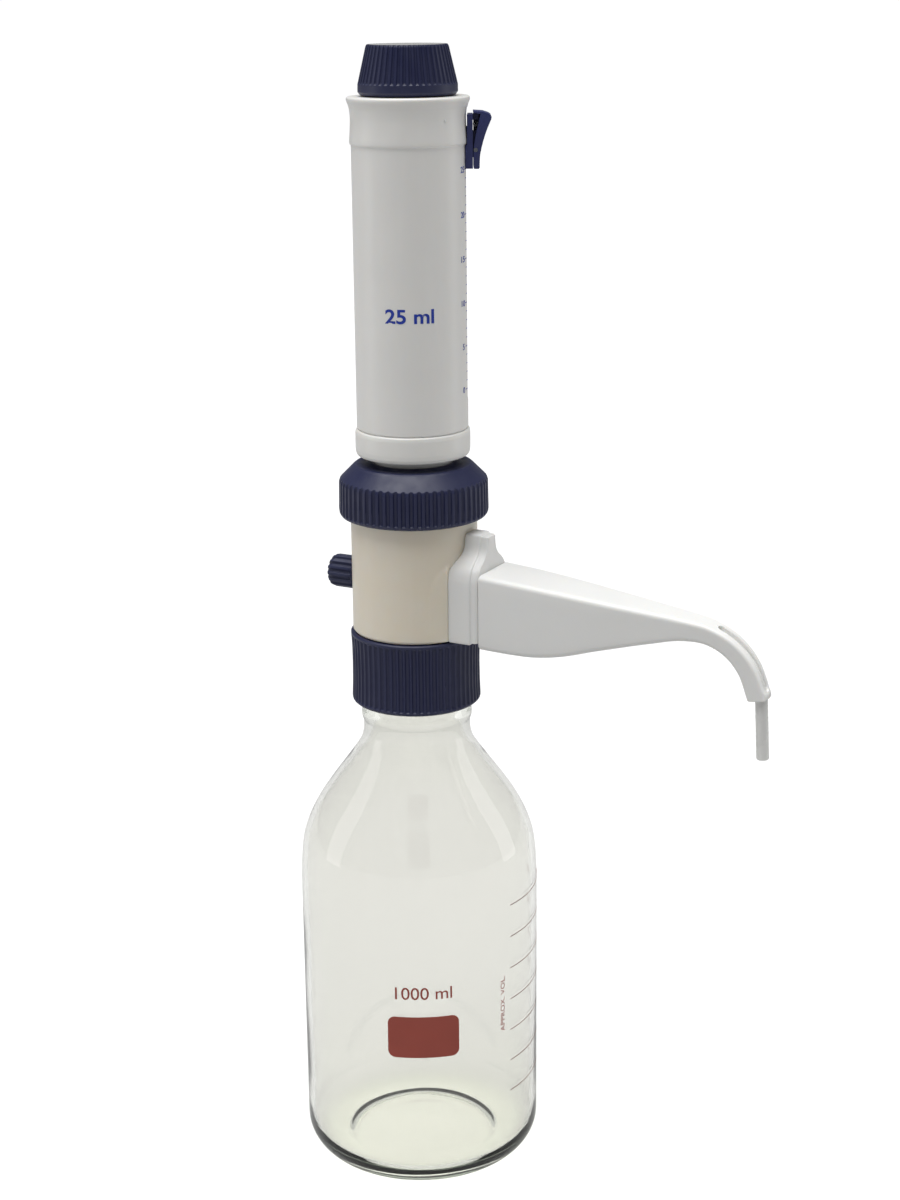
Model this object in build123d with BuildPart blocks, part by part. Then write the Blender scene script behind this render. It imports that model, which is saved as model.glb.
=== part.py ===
from build123d import *
import os
from math import cos, sin, radians

os.makedirs("parts", exist_ok=True)

# Bottle-top dispenser on its laboratory bottle. Millimetres, +Z up.
# Origin: centre of the bottle's base. +X points along the delivery nozzle.

# ---------------------------------------------------------------- bottle
body_r = 50.5            # outside radius of the bottle's body
heel_r = 14.0            # outside radius of the heel
contact_r0 = 33.0        # annular ring the bottle stands on, inner radius
contact_r1 = 36.5        # and outer radius
neck_r = 21.9            # outside radius of the screw neck
mouth_r = 17.3           # inside radius of the mouth
lip_z = 226.0            # height of the mouth's lip

# ---------------------------------------------------------------- collar
collar_z0 = 206.1
collar_z1 = 236.3
collar_r = 26.9
collar_bore_r = 22.2
collar_lip_r = 20.5
collar_ribs = 60

# ---------------------------------------------------------- valve block
block_r = 25.9
block_z0 = 236.6
block_z1 = 286.0
spigot_r = 20.0          # lower spigot, held by the collar
spigot_z = 229.2
top_spigot_r = 24.0      # upper spigot, inside the locking ring
top_spigot_z = 293.0
inlet_bore_r = 7.6
seat_z = 271.2           # shoulder that carries the glass cylinder's seal
vent_z = 256.8           # height of the vent plug
outlet_z = 252.2         # height of the outlet bore and delivery tube

# --------------------------------------------------------- locking ring
lock_z0 = 284.9
lock_z1 = 307.6
lock_r = 30.6
lock_grooves = 60

# --------------------------------------------- glass cylinder and piston
bore_r = 9.6             # 25 ml in 86.4 mm of travel
glass_r = 11.2
glass_z0 = 272.2
glass_z1 = 386.0
casing_r = 16.0
casing_bore_r = 13.5
rod_r = 4.0
piston_r = 9.3
seal_r = 9.55

# --------------------------------------------------------------- sleeve
sleeve_r = 22.55
sleeve_in_r = 20.6
sleeve_z0 = 310.4
sleeve_z1 = 451.8
slot_half = 2.9
slider_az = 28.0         # direction of the volume slider, from +X

# ------------------------------------------------------------------ cap
cap_z0 = 452.2
cap_z1 = 471.2
cap_r0 = 19.4
cap_r1 = 15.9
cap_ribs = 50

# --------------------------------------------------------------- nozzle
flange_x0 = 22.6
flange_x2 = 35.6
arm_x0 = 35.9
tube_r = 2.5
tube_bore_r = 1.5
bend_r = 28.0
bend_x0 = 123.76
bend_deg = 87.0
tail = 22.2

# planes along the slider's radial direction
sa, ca = sin(radians(slider_az)), cos(radians(slider_az))
slider_side = Plane(origin=(0, 0, 0), x_dir=(ca, sa, 0), z_dir=(sa, -ca, 0))


def slider_plan(z):
    return Plane(origin=(0, 0, z), x_dir=(ca, sa, 0), z_dir=(0, 0, 1))


def across_x(x):
    # a plane square to the nozzle: local x runs along +Y, local y along +Z
    return Plane(origin=(x, 0, 0), x_dir=(0, 1, 0), z_dir=(1, 0, 0))


# ================================================================ bottle
with BuildPart() as bottle:
    with BuildSketch(Plane.XZ):
        with BuildLine():
            Line((0, 3.4), (10, 3.4))
            ThreePointArc((10, 3.4), (20.5, 2.9), (30.6, 1.8))
            Line((30.6, 1.8), (contact_r0, 0))
            Line((contact_r0, 0), (contact_r1, 0))
            ThreePointArc((contact_r1, 0), (46.4, 4.1), (body_r, heel_r))
            Line((body_r, heel_r), (body_r, 118))
            Spline(
                (body_r, 118), (50.28, 132), (49.7, 140), (48.8, 145.6), (47.1, 151),
                (44.7, 156.4), (41.6, 162), (38.0, 167.4), (34.2, 172.7), (30.3, 178),
                (26.2, 183.8), (23.5, 188.4), (22.35, 193.5),
                tangents=((0, 1), (0, 1)),
            )
            Line((22.35, 193.5), (22.9, 198.6))
            ThreePointArc((22.9, 198.6), (23.05, 200.2), (22.8, 201.8))
            Line((22.8, 201.8), (neck_r, 204.0))
            Line((neck_r, 204.0), (neck_r, 223.0))
            ThreePointArc((neck_r, 223.0), (21.1, 225.2), (19.4, lip_z))
            ThreePointArc((19.4, lip_z), (17.9, 225.2), (mouth_r, 223.4))
            Line((mouth_r, 223.4), (mouth_r, 203))
            Spline(
                (mouth_r, 203), (17.9, 195.5), (20.3, 188.2), (24.1, 182.4), (28.3, 176.4),
                (32.1, 171.2), (35.9, 165.9), (39.5, 160.6), (42.5, 155.3), (44.8, 150.0),
                (46.4, 145.2), (47.3, 139.8), (47.9, 132), (48.1, 118),
                tangents=((0, -1), (0, -1)),
            )
            Line((48.1, 118), (48.1, 17))
            ThreePointArc((48.1, 17), (45.3, 9.2), (37.2, 5.9))
            ThreePointArc((37.2, 5.9), (24, 6.7), (10, 7.0))
            Line((10, 7.0), (0, 7.0))
            Line((0, 7.0), (0, 3.4))
        make_face()
    revolve(axis=Axis.Z)
bottle.part.label = "bottle"
export_step(bottle.part, "parts/bottle.step")

# ================================================================ collar
with BuildPart() as collar:
    with BuildSketch(Plane.XZ):
        Polygon(
            (collar_bore_r, collar_z0), (25.9, collar_z0), (26.6, 206.8), (26.8, 207.4),
            (26.55, 214), (26.5, 222), (26.6, 230), (26.9, 235.0), (26.9, 235.7),
            (26.4, collar_z1), (collar_lip_r, collar_z1), (collar_lip_r, 229.6),
            (collar_bore_r, 229.6),
            align=None,
        )
    revolve(axis=Axis.Z)
    with BuildSketch(Plane.XY.offset(207.6)):
        with PolarLocations(collar_r + 0.15, collar_ribs):
            Circle(0.8)
    extrude(amount=27.2, mode=Mode.SUBTRACT)
collar.part.label = "collar"
export_step(collar.part, "parts/collar.step")

# =========================================================== valve block
with BuildPart() as valve_block:
    with BuildSketch(Plane.XZ):
        Polygon(
            (0, spigot_z), (spigot_r, spigot_z), (spigot_r, block_z0), (25.3, block_z0),
            (block_r, 237.2), (block_r, 285.4), (25.3, block_z1), (top_spigot_r, block_z1),
            (top_spigot_r, 292.4), (23.4, top_spigot_z), (0, top_spigot_z),
            align=None,
        )
    revolve(axis=Axis.Z)
    # arch-topped boss towards the nozzle, its sides sloping in to the flange
    with BuildSketch(across_x(8)):
        with BuildLine():
            Line((-19.2, block_z0), (19.2, block_z0))
            Line((19.2, block_z0), (19.2, 257.6))
            ThreePointArc((19.2, 257.6), (15.1, 267.5), (5.2, 271.6))
            Line((5.2, 271.6), (-5.2, 271.6))
            ThreePointArc((-5.2, 271.6), (-15.1, 267.5), (-19.2, 257.6))
            Line((-19.2, 257.6), (-19.2, block_z0))
        make_face()
    extrude(amount=flange_x0 - 8)
    with BuildSketch(Plane.XY.offset(block_z0 - 1)):
        Polygon((17.2, 19.4), (flange_x0, 14.6), (23.5, 14.6), (23.5, 20.5), (17.2, 20.5), align=None)
        Polygon((17.2, -19.4), (17.2, -20.5), (23.5, -20.5), (23.5, -14.6), (flange_x0, -14.6), align=None)
    extrude(amount=38, mode=Mode.SUBTRACT)
    # bores for the inlet valve, pump chamber and glass cylinder
    with BuildSketch(Plane.XY.offset(spigot_z)):
        Circle(inlet_bore_r)
    extrude(amount=246 - spigot_z, mode=Mode.SUBTRACT)
    with BuildSketch(Plane.XY.offset(245)):
        Circle(6.0)
    extrude(amount=18, mode=Mode.SUBTRACT)
    with BuildSketch(Plane.XY.offset(262)):
        Circle(9.0)
    extrude(amount=10, mode=Mode.SUBTRACT)
    with BuildSketch(Plane.XY.offset(seat_z)):
        Circle(11.4)
    extrude(amount=25, mode=Mode.SUBTRACT)
    # outlet bore towards the nozzle
    with BuildSketch(across_x(0)):
        with Locations((0, outlet_z)):
            Circle(5.0)
    extrude(amount=30, mode=Mode.SUBTRACT)
    # vent bore, its counterbore and the duct down to the bottle
    with BuildSketch(across_x(-30)):
        with Locations((0, vent_z)):
            Circle(3.1)
    extrude(amount=14.5, mode=Mode.SUBTRACT)
    with BuildSketch(across_x(-30)):
        with Locations((0, vent_z)):
            Circle(4.6)
    extrude(amount=6.4, mode=Mode.SUBTRACT)
    with BuildSketch(Plane.XY.offset(spigot_z)):
        with Locations((-16.6, 0)):
            Circle(1.5)
    extrude(amount=vent_z - spigot_z, mode=Mode.SUBTRACT)
valve_block.part.label = "valve_block"
export_step(valve_block.part, "parts/valve_block.step")

# ring under the block that keeps the collar on, and the seal on the lip
with BuildPart() as collar_retainer:
    with BuildSketch(Plane.XZ):
        Polygon((10.3, 226.9), (21.6, 226.9), (21.8, 227.1), (21.8, spigot_z), (10.3, spigot_z), align=None)
    revolve(axis=Axis.Z)
    with BuildSketch(Plane.XY.offset(226.5)):
        with Locations((-16.6, 0)):
            Circle(1.5)
    extrude(amount=4, mode=Mode.SUBTRACT)
collar_retainer.part.label = "collar_retainer"
export_step(collar_retainer.part, "parts/collar_retainer.step")

with BuildPart() as bottle_gasket:
    with BuildSketch(Plane.XY.offset(226.3)):
        Circle(21.6)
        Circle(18.3, mode=Mode.SUBTRACT)
    extrude(amount=0.6)
bottle_gasket.part.label = "bottle_gasket"
export_step(bottle_gasket.part, "parts/bottle_gasket.step")

# ========================================================== inlet valve
with BuildPart() as inlet_valve_housing:
    with BuildSketch(Plane.XZ):
        Polygon(
            (2.0, 206.0), (3.0, 206.0), (3.9, 209.0), (3.4, 209.3), (3.4, 211.5), (3.9, 214.5),
            (3.4, 214.8), (3.4, 227.2), (10.0, 227.2), (10.0, spigot_z), (7.5, spigot_z),
            (7.5, 237.5), (6.3, 237.5), (6.3, 239.6), (7.5, 239.6), (7.5, 245.8), (3.6, 245.8),
            (3.6, 232.0), (2.0, 232.0),
            align=None,
        )
    revolve(axis=Axis.Z)
inlet_valve_housing.part.label = "inlet_valve_housing"
export_step(inlet_valve_housing.part, "parts/inlet_valve_housing.step")

with BuildPart() as inlet_valve_seat:
    with BuildSketch(Plane.XY.offset(232.0)):
        Circle(3.58)
        Circle(2.0, mode=Mode.SUBTRACT)
    extrude(amount=2.0)
inlet_valve_seat.part.label = "inlet_valve_seat"
export_step(inlet_valve_seat.part, "parts/inlet_valve_seat.step")

with BuildPart() as inlet_ball:
    with Locations((0, 0, 236.02)):
        Sphere(2.8)
inlet_ball.part.label = "inlet_ball"
export_step(inlet_ball.part, "parts/inlet_ball.step")

with BuildPart() as inlet_ball_stop:
    with BuildSketch(Plane.XY.offset(241.2)):
        Circle(3.58)
        Circle(1.2, mode=Mode.SUBTRACT)
        with PolarLocations(2.1, 4):
            Circle(0.7, mode=Mode.SUBTRACT)
    extrude(amount=1.8)
inlet_ball_stop.part.label = "inlet_ball_stop"
export_step(inlet_ball_stop.part, "parts/inlet_ball_stop.step")

with BuildPart() as inlet_o_ring:
    with BuildSketch(Plane.XZ):
        with Locations((6.95, 238.55)):
            Circle(0.6)
    revolve(axis=Axis.Z)
inlet_o_ring.part.label = "inlet_o_ring"
export_step(inlet_o_ring.part, "parts/inlet_o_ring.step")

# ========================================================= outlet valve
with BuildPart() as outlet_valve_seat:
    with BuildSketch(across_x(7.0)):
        with Locations((0, outlet_z)):
            Circle(4.95)
            Circle(1.6, mode=Mode.SUBTRACT)
    extrude(amount=2.5)
outlet_valve_seat.part.label = "outlet_valve_seat"
export_step(outlet_valve_seat.part, "parts/outlet_valve_seat.step")

with BuildPart() as outlet_valve_housing:
    with BuildSketch(Plane.XZ.offset(0)):
        Polygon(
            (9.5, outlet_z + 2.75), (9.5, outlet_z + 4.95), (18.0, outlet_z + 4.95),
            (18.0, outlet_z + 3.9), (20.0, outlet_z + 3.9), (20.0, outlet_z + 4.95),
            (34.4, outlet_z + 4.95), (34.4, outlet_z + 1.45), (40.0, outlet_z + 1.45),
            (40.0, outlet_z + 0.8), (24.0, outlet_z + 0.8), (24.0, outlet_z + 2.75),
            align=None,
        )
    revolve(axis=Axis((0, 0, outlet_z), (1, 0, 0)))
outlet_valve_housing.part.label = "outlet_valve_housing"
export_step(outlet_valve_housing.part, "parts/outlet_valve_housing.step")

with BuildPart() as outlet_ball:
    with Locations((11.32, 0, outlet_z)):
        Sphere(2.4)
outlet_ball.part.label = "outlet_ball"
export_step(outlet_ball.part, "parts/outlet_ball.step")

with BuildPart() as outlet_spring:
    with BuildLine():
        spring_coil = Helix(pitch=1.9, height=9.0, radius=1.9, center=(14.5, 0, outlet_z), direction=(1, 0, 0))
    with BuildSketch(Plane(origin=spring_coil @ 0, z_dir=spring_coil % 0)):
        Circle(0.3)
    sweep()
outlet_spring.part.label = "outlet_spring"
export_step(outlet_spring.part, "parts/outlet_spring.step")

with BuildPart() as outlet_o_ring:
    with BuildSketch(Plane.XZ):
        with Locations((19.0, outlet_z + 4.42)):
            Circle(0.5)
    revolve(axis=Axis((0, 0, outlet_z), (1, 0, 0)))
outlet_o_ring.part.label = "outlet_o_ring"
export_step(outlet_o_ring.part, "parts/outlet_o_ring.step")

# ============================================== glass cylinder and casing
with BuildPart() as cylinder_seal:
    with BuildSketch(Plane.XY.offset(seat_z)):
        Circle(11.3)
        Circle(9.7, mode=Mode.SUBTRACT)
    extrude(amount=glass_z0 - seat_z)
cylinder_seal.part.label = "cylinder_seal"
export_step(cylinder_seal.part, "parts/cylinder_seal.step")

with BuildPart() as glass_cylinder:
    with BuildSketch(Plane.XY.offset(glass_z0)):
        Circle(glass_r)
        Circle(bore_r, mode=Mode.SUBTRACT)
    extrude(amount=glass_z1 - glass_z0)
glass_cylinder.part.label = "glass_cylinder"
export_step(glass_cylinder.part, "parts/glass_cylinder.step")

with BuildPart() as cylinder_casing:
    with BuildSketch(Plane.XZ):
        Polygon(
            (casing_bore_r, top_spigot_z), (23.0, top_spigot_z), (23.0, 296.5), (casing_r, 296.5),
            (casing_r, 391.4), (15.4, 392.0), (casing_bore_r, 392.0),
            align=None,
        )
    revolve(axis=Axis.Z)
cylinder_casing.part.label = "cylinder_casing"
export_step(cylinder_casing.part, "parts/cylinder_casing.step")

with BuildPart() as rod_guide:
    with BuildSketch(Plane.XZ):
        Polygon(
            (rod_r + 0.06, 387.0), (13.45, 387.0), (13.45, 392.0), (casing_r, 392.0),
            (casing_r, 395.4), (15.4, 396.0), (rod_r + 0.06, 396.0),
            align=None,
        )
    revolve(axis=Axis.Z)
rod_guide.part.label = "rod_guide"
export_step(rod_guide.part, "parts/rod_guide.step")

# ========================================================= locking ring
with BuildPart() as locking_ring:
    with BuildSketch(Plane.XZ):
        Polygon(
            (26.3, lock_z0), (28.4, lock_z0), (29.6, 285.3), (30.3, 286.2), (lock_r, 287.5),
            (30.5, 293), (30.35, 299.6), (30.0, 300.6), (24.4, 306.2), (23.7, 306.7),
            (20.0, 306.8), (17.6, lock_z1), (16.6, lock_z1), (16.4, 307.3), (16.4, 296.8),
            (24.35, 296.8), (24.35, 286.5), (26.3, 286.5),
            align=None,
        )
    revolve(axis=Axis.Z)
    with BuildSketch(Plane.XY.offset(286.3)):
        with PolarLocations(lock_r + 0.2, lock_grooves):
            Circle(0.95)
    extrude(amount=20, mode=Mode.SUBTRACT)
locking_ring.part.label = "locking_ring"
export_step(locking_ring.part, "parts/locking_ring.step")

# ============================================================== piston
with BuildPart() as piston_head:
    with BuildSketch(Plane.XZ):
        Polygon(
            (0, 276.0), (8.7, 276.0), (piston_r, 276.6), (piston_r, 278.2), (8.0, 278.2),
            (8.0, 280.0), (piston_r, 280.0), (piston_r, 283.2), (8.0, 283.2), (8.0, 285.0),
            (piston_r, 285.0), (piston_r, 287.6), (8.8, 288.0), (2.52, 288.0), (2.52, 280.8),
            (0, 280.8),
            align=None,
        )
    revolve(axis=Axis.Z)
piston_head.part.label = "piston_head"
export_step(piston_head.part, "parts/piston_head.step")

with BuildPart() as piston_seals:
    with BuildSketch(Plane.XY.offset(278.25)):
        Circle(seal_r)
        Circle(8.05, mode=Mode.SUBTRACT)
    extrude(amount=1.7)
    with BuildSketch(Plane.XY.offset(283.25)):
        Circle(seal_r)
        Circle(8.05, mode=Mode.SUBTRACT)
    extrude(amount=1.7)
piston_seals.part.label = "piston_seals"
export_step(piston_seals.part, "parts/piston_seals.step")

with BuildPart() as piston_rod:
    with BuildSketch(Plane.XZ):
        Polygon(
            (0, 281.0), (2.5, 281.0), (2.5, 288.0), (rod_r, 288.0), (rod_r, 460.4), (3.4, 461.0), (0, 461.0),
            align=None,
        )
    revolve(axis=Axis.Z)
piston_rod.part.label = "piston_rod"
export_step(piston_rod.part, "parts/piston_rod.step")

with BuildPart() as rod_nut:
    with BuildSketch(Plane.XY.offset(441.6)):
        RegularPolygon(radius=7.5, side_count=6)
        Circle(rod_r + 0.02, mode=Mode.SUBTRACT)
    extrude(amount=6.7)
rod_nut.part.label = "rod_nut"
export_step(rod_nut.part, "parts/rod_nut.step")

# ============================================================== sleeve
with BuildPart() as sleeve:
    with BuildSketch(Plane.XZ):
        with BuildLine():
            Polyline((22.1, 311.7), (22.1, 321.4), (22.45, 321.6), (sleeve_r, 322.0), (sleeve_r, 431.0))
            Spline((sleeve_r, 431.0), (22.75, 433.6), (23.2, 435.6), tangents=((0, 1), (0.2, 1)))
            Spline(
                (23.2, 435.6), (22.85, 437.4), (22.6, 441.6), (22.8, 445.2), (23.3, 447.8), (24.0, 450.3),
                tangents=((-0.6, 1), (0.35, 1)),
            )
            ThreePointArc((24.0, 450.3), (23.9, 451.4), (23.0, sleeve_z1))
            Polyline(
                (23.0, sleeve_z1), (rod_r + 0.1, sleeve_z1), (rod_r + 0.1, 448.4), (sleeve_in_r, 448.4),
                (sleeve_in_r, 311.7), (22.1, 311.7),
            )
        make_face()
    revolve(axis=Axis.Z)
    with BuildSketch(slider_plan(333.0)):
        with Locations((22.5, 0)):
            Rectangle(7.0, 2 * slot_half)
    extrude(amount=114.4, mode=Mode.SUBTRACT)
sleeve.part.label = "sleeve"
export_step(sleeve.part, "parts/sleeve.step")

with BuildPart() as sleeve_end_ring:
    with BuildSketch(Plane.XZ):
        Polygon(
            (20.9, sleeve_z0), (22.0, sleeve_z0), (22.6, 310.7), (23.05, 311.6), (23.3, 313.5),
            (23.3, 319.6), (23.1, 320.6), (22.75, 321.1), (22.15, 321.2), (22.15, 311.65), (20.7, 311.65),
            (20.7, 310.6),
            align=None,
        )
    revolve(axis=Axis.Z)
sleeve_end_ring.part.label = "sleeve_end_ring"
export_step(sleeve_end_ring.part, "parts/sleeve_end_ring.step")

# ================================================================= cap
ridge_planes = []
for i in range(cap_ribs):
    a = radians(360.0 * (i + 0.5) / cap_ribs)
    slope = (cap_r1 - cap_r0) / (cap_z1 - 455.9)
    ridge_planes.append(
        Plane(
            origin=((cap_r0 + 0.2) * cos(a), (cap_r0 + 0.2) * sin(a), 456.4),
            x_dir=(-sin(a), cos(a), 0),
            z_dir=(slope * cos(a), slope * sin(a), 1),
        )
    )
with BuildPart() as top_cap:
    with BuildSketch(Plane.XZ):
        Polygon(
            (18.5, cap_z0), (cap_r0 + 0.1, 453.1), (cap_r0 + 0.1, 455.9), (cap_r1 + 0.15, 470.5),
            (15.5, cap_z1), (14.95, cap_z1), (14.95, 470.0), (0, 470.0), (0, 462.6),
            (rod_r + 0.06, 462.6), (rod_r + 0.06, 453.4), (7.5, 453.4), (7.5, 467.0), (13.4, 467.0),
            (17.0, 453.4), (17.0, cap_z0),
            align=None,
        )
    revolve(axis=Axis.Z)
    with BuildSketch(*ridge_planes):
        Circle(0.62)
    extrude(amount=17, mode=Mode.SUBTRACT)
top_cap.part.label = "top_cap"
export_step(top_cap.part, "parts/top_cap.step")

with BuildPart() as cap_insert:
    with BuildSketch(Plane.XZ):
        Polygon((0, 470.0), (14.85, 470.0), (14.85, 470.9), (14.55, 471.15), (0, 471.15), align=None)
    revolve(axis=Axis.Z)
cap_insert.part.label = "cap_insert"
export_step(cap_insert.part, "parts/cap_insert.step")

# ======================================================= volume slider
with BuildPart() as slider_carriage:
    with BuildSketch(slider_side):
        Polygon((21.2, 424.2), (25.0, 424.2), (25.0, 446.2), (21.2, 446.2), align=None)
    extrude(amount=6.0, both=True)
    with BuildSketch(Plane.XY.offset(420)):
        Circle(23.55)
    extrude(amount=30, mode=Mode.SUBTRACT)
    # web that fills the lever's slot, with a window for the spring
    with BuildSketch(slider_side):
        Polygon(
            (24.8, 428.2), (27.0, 428.2), (27.0, 431.2), (26.55, 434.4), (26.85, 438.4), (24.8, 438.4),
            align=None,
        )
        Polygon((24.8, 442.5), (27.3, 442.5), (27.4, 446.2), (24.8, 446.2), align=None)
    extrude(amount=1.5, both=True)
    # tongue through the sleeve's slot and the foot behind it
    with BuildSketch(slider_side):
        Polygon((17.8, 430.0), (24.0, 430.0), (24.0, 440.0), (17.8, 440.0), align=None)
    extrude(amount=2.5, both=True)
    with BuildSketch(slider_side):
        Polygon((17.8, 430.0), (19.4, 430.0), (19.4, 440.0), (17.8, 440.0), align=None)
    extrude(amount=4.8, both=True)
    with BuildSketch(slider_side):
        with Locations((26.1, 431.3)):
            Circle(0.82)
    extrude(amount=7, both=True, mode=Mode.SUBTRACT)
slider_carriage.part.label = "slider_carriage"
export_step(slider_carriage.part, "parts/slider_carriage.step")

with BuildPart() as slider_pin:
    with BuildSketch(slider_side):
        with Locations((26.1, 431.3)):
            Circle(0.8)
    extrude(amount=5.8, both=True)
slider_pin.part.label = "slider_pin"
export_step(slider_pin.part, "parts/slider_pin.step")

with BuildPart() as slider_lever:
    with BuildSketch(slider_side):
        with BuildLine():
            Polyline((25.4, 424.5), (25.7, 424.1), (27.2, 424.1), (27.6, 424.6))
            Spline(
                (27.6, 424.6), (27.9, 429.8), (28.8, 433.8), (30.2, 438.2), (32.2, 443.2),
                tangents=((0, 1), (0.42, 1)),
            )
            Polyline((32.2, 443.2), (32.35, 443.9), (31.7, 444.8), (28.7, 445.5), (26.3, 438.2), (25.4, 431.6), (25.4, 424.5))
        make_face()
    extrude(amount=6.0, both=True)
    with BuildSketch(slider_side):
        Polygon((24.8, 427.8), (27.35, 427.8), (27.35, 434.3), (29.7, 444.0), (30.0, 447.5), (24.8, 447.5), align=None)
    extrude(amount=1.9, both=True, mode=Mode.SUBTRACT)
    with BuildSketch(slider_side):
        with Locations((26.1, 431.3)):
            Circle(0.86)
    extrude(amount=7, both=True, mode=Mode.SUBTRACT)
slider_lever.part.label = "slider_lever"
export_step(slider_lever.part, "parts/slider_lever.step")

with BuildPart() as slider_spring:
    with BuildLine():
        lever_coil = Helix(
            pitch=0.8, height=2.9, radius=1.25,
            center=(25.35 * ca, 25.35 * sa, 440.45), direction=(ca, sa, 0),
        )
    with BuildSketch(Plane(origin=lever_coil @ 0, z_dir=lever_coil % 0)):
        Circle(0.22)
    sweep()
slider_spring.part.label = "slider_spring"
export_step(slider_spring.part, "parts/slider_spring.step")

# ============================================================== nozzle
with BuildPart() as nozzle_flange:
    with BuildSketch(across_x(20.0)):
        with BuildLine():
            Polyline((-3.2, 280.7), (3.2, 280.7), (4.4, 279.5))
            Spline(
                (4.4, 279.5), (4.9, 275.4), (6.7, 272.6), (9.6, 270.5), (12.6, 267.6), (14.2, 261.5),
                tangents=((0, -1), (0, -1)),
            )
            Polyline((14.2, 261.5), (14.2, 237.5), (13.4, 236.8), (-13.4, 236.8), (-14.2, 237.5), (-14.2, 261.5))
            Spline(
                (-14.2, 261.5), (-12.6, 267.6), (-9.6, 270.5), (-6.7, 272.6), (-4.9, 275.4), (-4.4, 279.5),
                tangents=((0, 1), (0, 1)),
            )
            Line((-4.4, 279.5), (-3.2, 280.7))
        make_face()
    extrude(amount=flange_x2 - 20.0)
    # stepped front edge
    front = nozzle_flange.faces().sort_by(Axis.X)[-1]
    chamfer(front.outer_wire().edges(), length=0.9)
    # saddle against the block
    with BuildSketch(Plane.XY.offset(230)):
        Circle(block_r + 0.04)
    extrude(amount=60, mode=Mode.SUBTRACT)
    with BuildSketch(Plane.XY.offset(230)):
        Polygon((15, -25), (flange_x0, -25), (flange_x0, 25), (15, 25), align=None)
    extrude(amount=60, mode=Mode.SUBTRACT)
    # socket for the arm and bore for the outlet valve
    with BuildSketch(across_x(flange_x2 - 1)):
        with Locations((0, outlet_z)):
            Circle(8.0)
    extrude(amount=6.4)
    with BuildSketch(across_x(20)):
        with Locations((0, outlet_z)):
            Circle(5.0)
    extrude(amount=24, mode=Mode.SUBTRACT)
nozzle_flange.part.label = "nozzle_flange"
export_step(nozzle_flange.part, "parts/nozzle_flange.step")

# sections of the arm: x, z of the middle, slope in degrees, height, half width, corner radius
arm_sections = [
    (arm_x0, 250.6, 0, 31.0, 13.4, 3.6),
    (48.0, 249.9, 0, 30.6, 13.2, 3.8),
    (60.0, 249.4, 0, 29.4, 12.7, 3.9),
    (72.0, 249.7, 0, 26.4, 11.8, 3.9),
    (84.0, 250.7, 0, 21.8, 10.7, 3.9),
    (96.0, 251.6, 0, 17.3, 9.5, 3.8),
    (108.0, 252.4, 0, 13.0, 8.2, 3.6),
    (119.5, 252.9, 3, 9.2, 7.0, 3.3),
    (130.2, 251.8, 15, 7.5, 5.9, 3.0),
    (139.4, 247.4, 36, 7.0, 5.3, 2.9),
    (146.3, 239.6, 58, 7.0, 4.9, 2.8),
    (150.7, 228.4, 82, 7.3, 4.6, 2.8),
]
with BuildPart() as nozzle_arm:
    for x, z, t, h, w, r in arm_sections:
        with BuildSketch(
            Plane(origin=(x, 0, z), x_dir=(0, 1, 0), z_dir=(cos(radians(t)), 0, -sin(radians(t))))
        ):
            RectangleRounded(2 * w, h, r)
    loft()
    # socket at the flange
    with BuildSketch(across_x(arm_x0 - 1)):
        with Locations((0, outlet_z)):
            Circle(8.05)
    extrude(amount=6.4, mode=Mode.SUBTRACT)
    # channel for the delivery tube
    with BuildLine(Plane.XZ):
        run = Line((arm_x0, outlet_z), (bend_x0, outlet_z))
        bend = JernArc(start=run @ 1, tangent=run % 1, radius=bend_r, arc_size=-bend_deg)
        Line(bend @ 1, (bend @ 1) + (bend % 1) * tail)
    with BuildSketch(across_x(arm_x0)):
        with Locations((0, outlet_z)):
            Circle(tube_r + 0.1)
    sweep(mode=Mode.SUBTRACT)
    # slot along the outside of the bend
    with BuildSketch(Plane.XZ):
        with BuildLine():
            c0 = (bend_x0, outlet_z - bend_r)
            a0, a1 = radians(90 - 17), radians(90 - 79)
            am = (a0 + a1) / 2
            p0 = (c0[0] + 28 * cos(a0), c0[1] + 28 * sin(a0))
            p1 = (c0[0] + 28 * cos(a1), c0[1] + 28 * sin(a1))
            q0 = (c0[0] + 36 * cos(a0), c0[1] + 36 * sin(a0))
            q1 = (c0[0] + 36 * cos(a1), c0[1] + 36 * sin(a1))
            ThreePointArc(p0, (c0[0] + 28 * cos(am), c0[1] + 28 * sin(am)), p1)
            Line(p1, q1)
            ThreePointArc(q1, (c0[0] + 36 * cos(am), c0[1] + 36 * sin(am)), q0)
            Line(q0, p0)
        make_face()
    extrude(amount=1.8, both=True, mode=Mode.SUBTRACT)
nozzle_arm.part.label = "nozzle_arm"
export_step(nozzle_arm.part, "parts/nozzle_arm.step")

with BuildPart() as delivery_tube:
    with BuildLine(Plane.XZ):
        run = Line((34.6, outlet_z), (bend_x0, outlet_z))
        bend = JernArc(start=run @ 1, tangent=run % 1, radius=bend_r, arc_size=-bend_deg)
        Line(bend @ 1, (bend @ 1) + (bend % 1) * tail)
    with BuildSketch(across_x(34.6)):
        with Locations((0, outlet_z)):
            Circle(tube_r)
            Circle(tube_bore_r, mode=Mode.SUBTRACT)
    sweep()
delivery_tube.part.label = "delivery_tube"
export_step(delivery_tube.part, "parts/delivery_tube.step")

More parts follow.
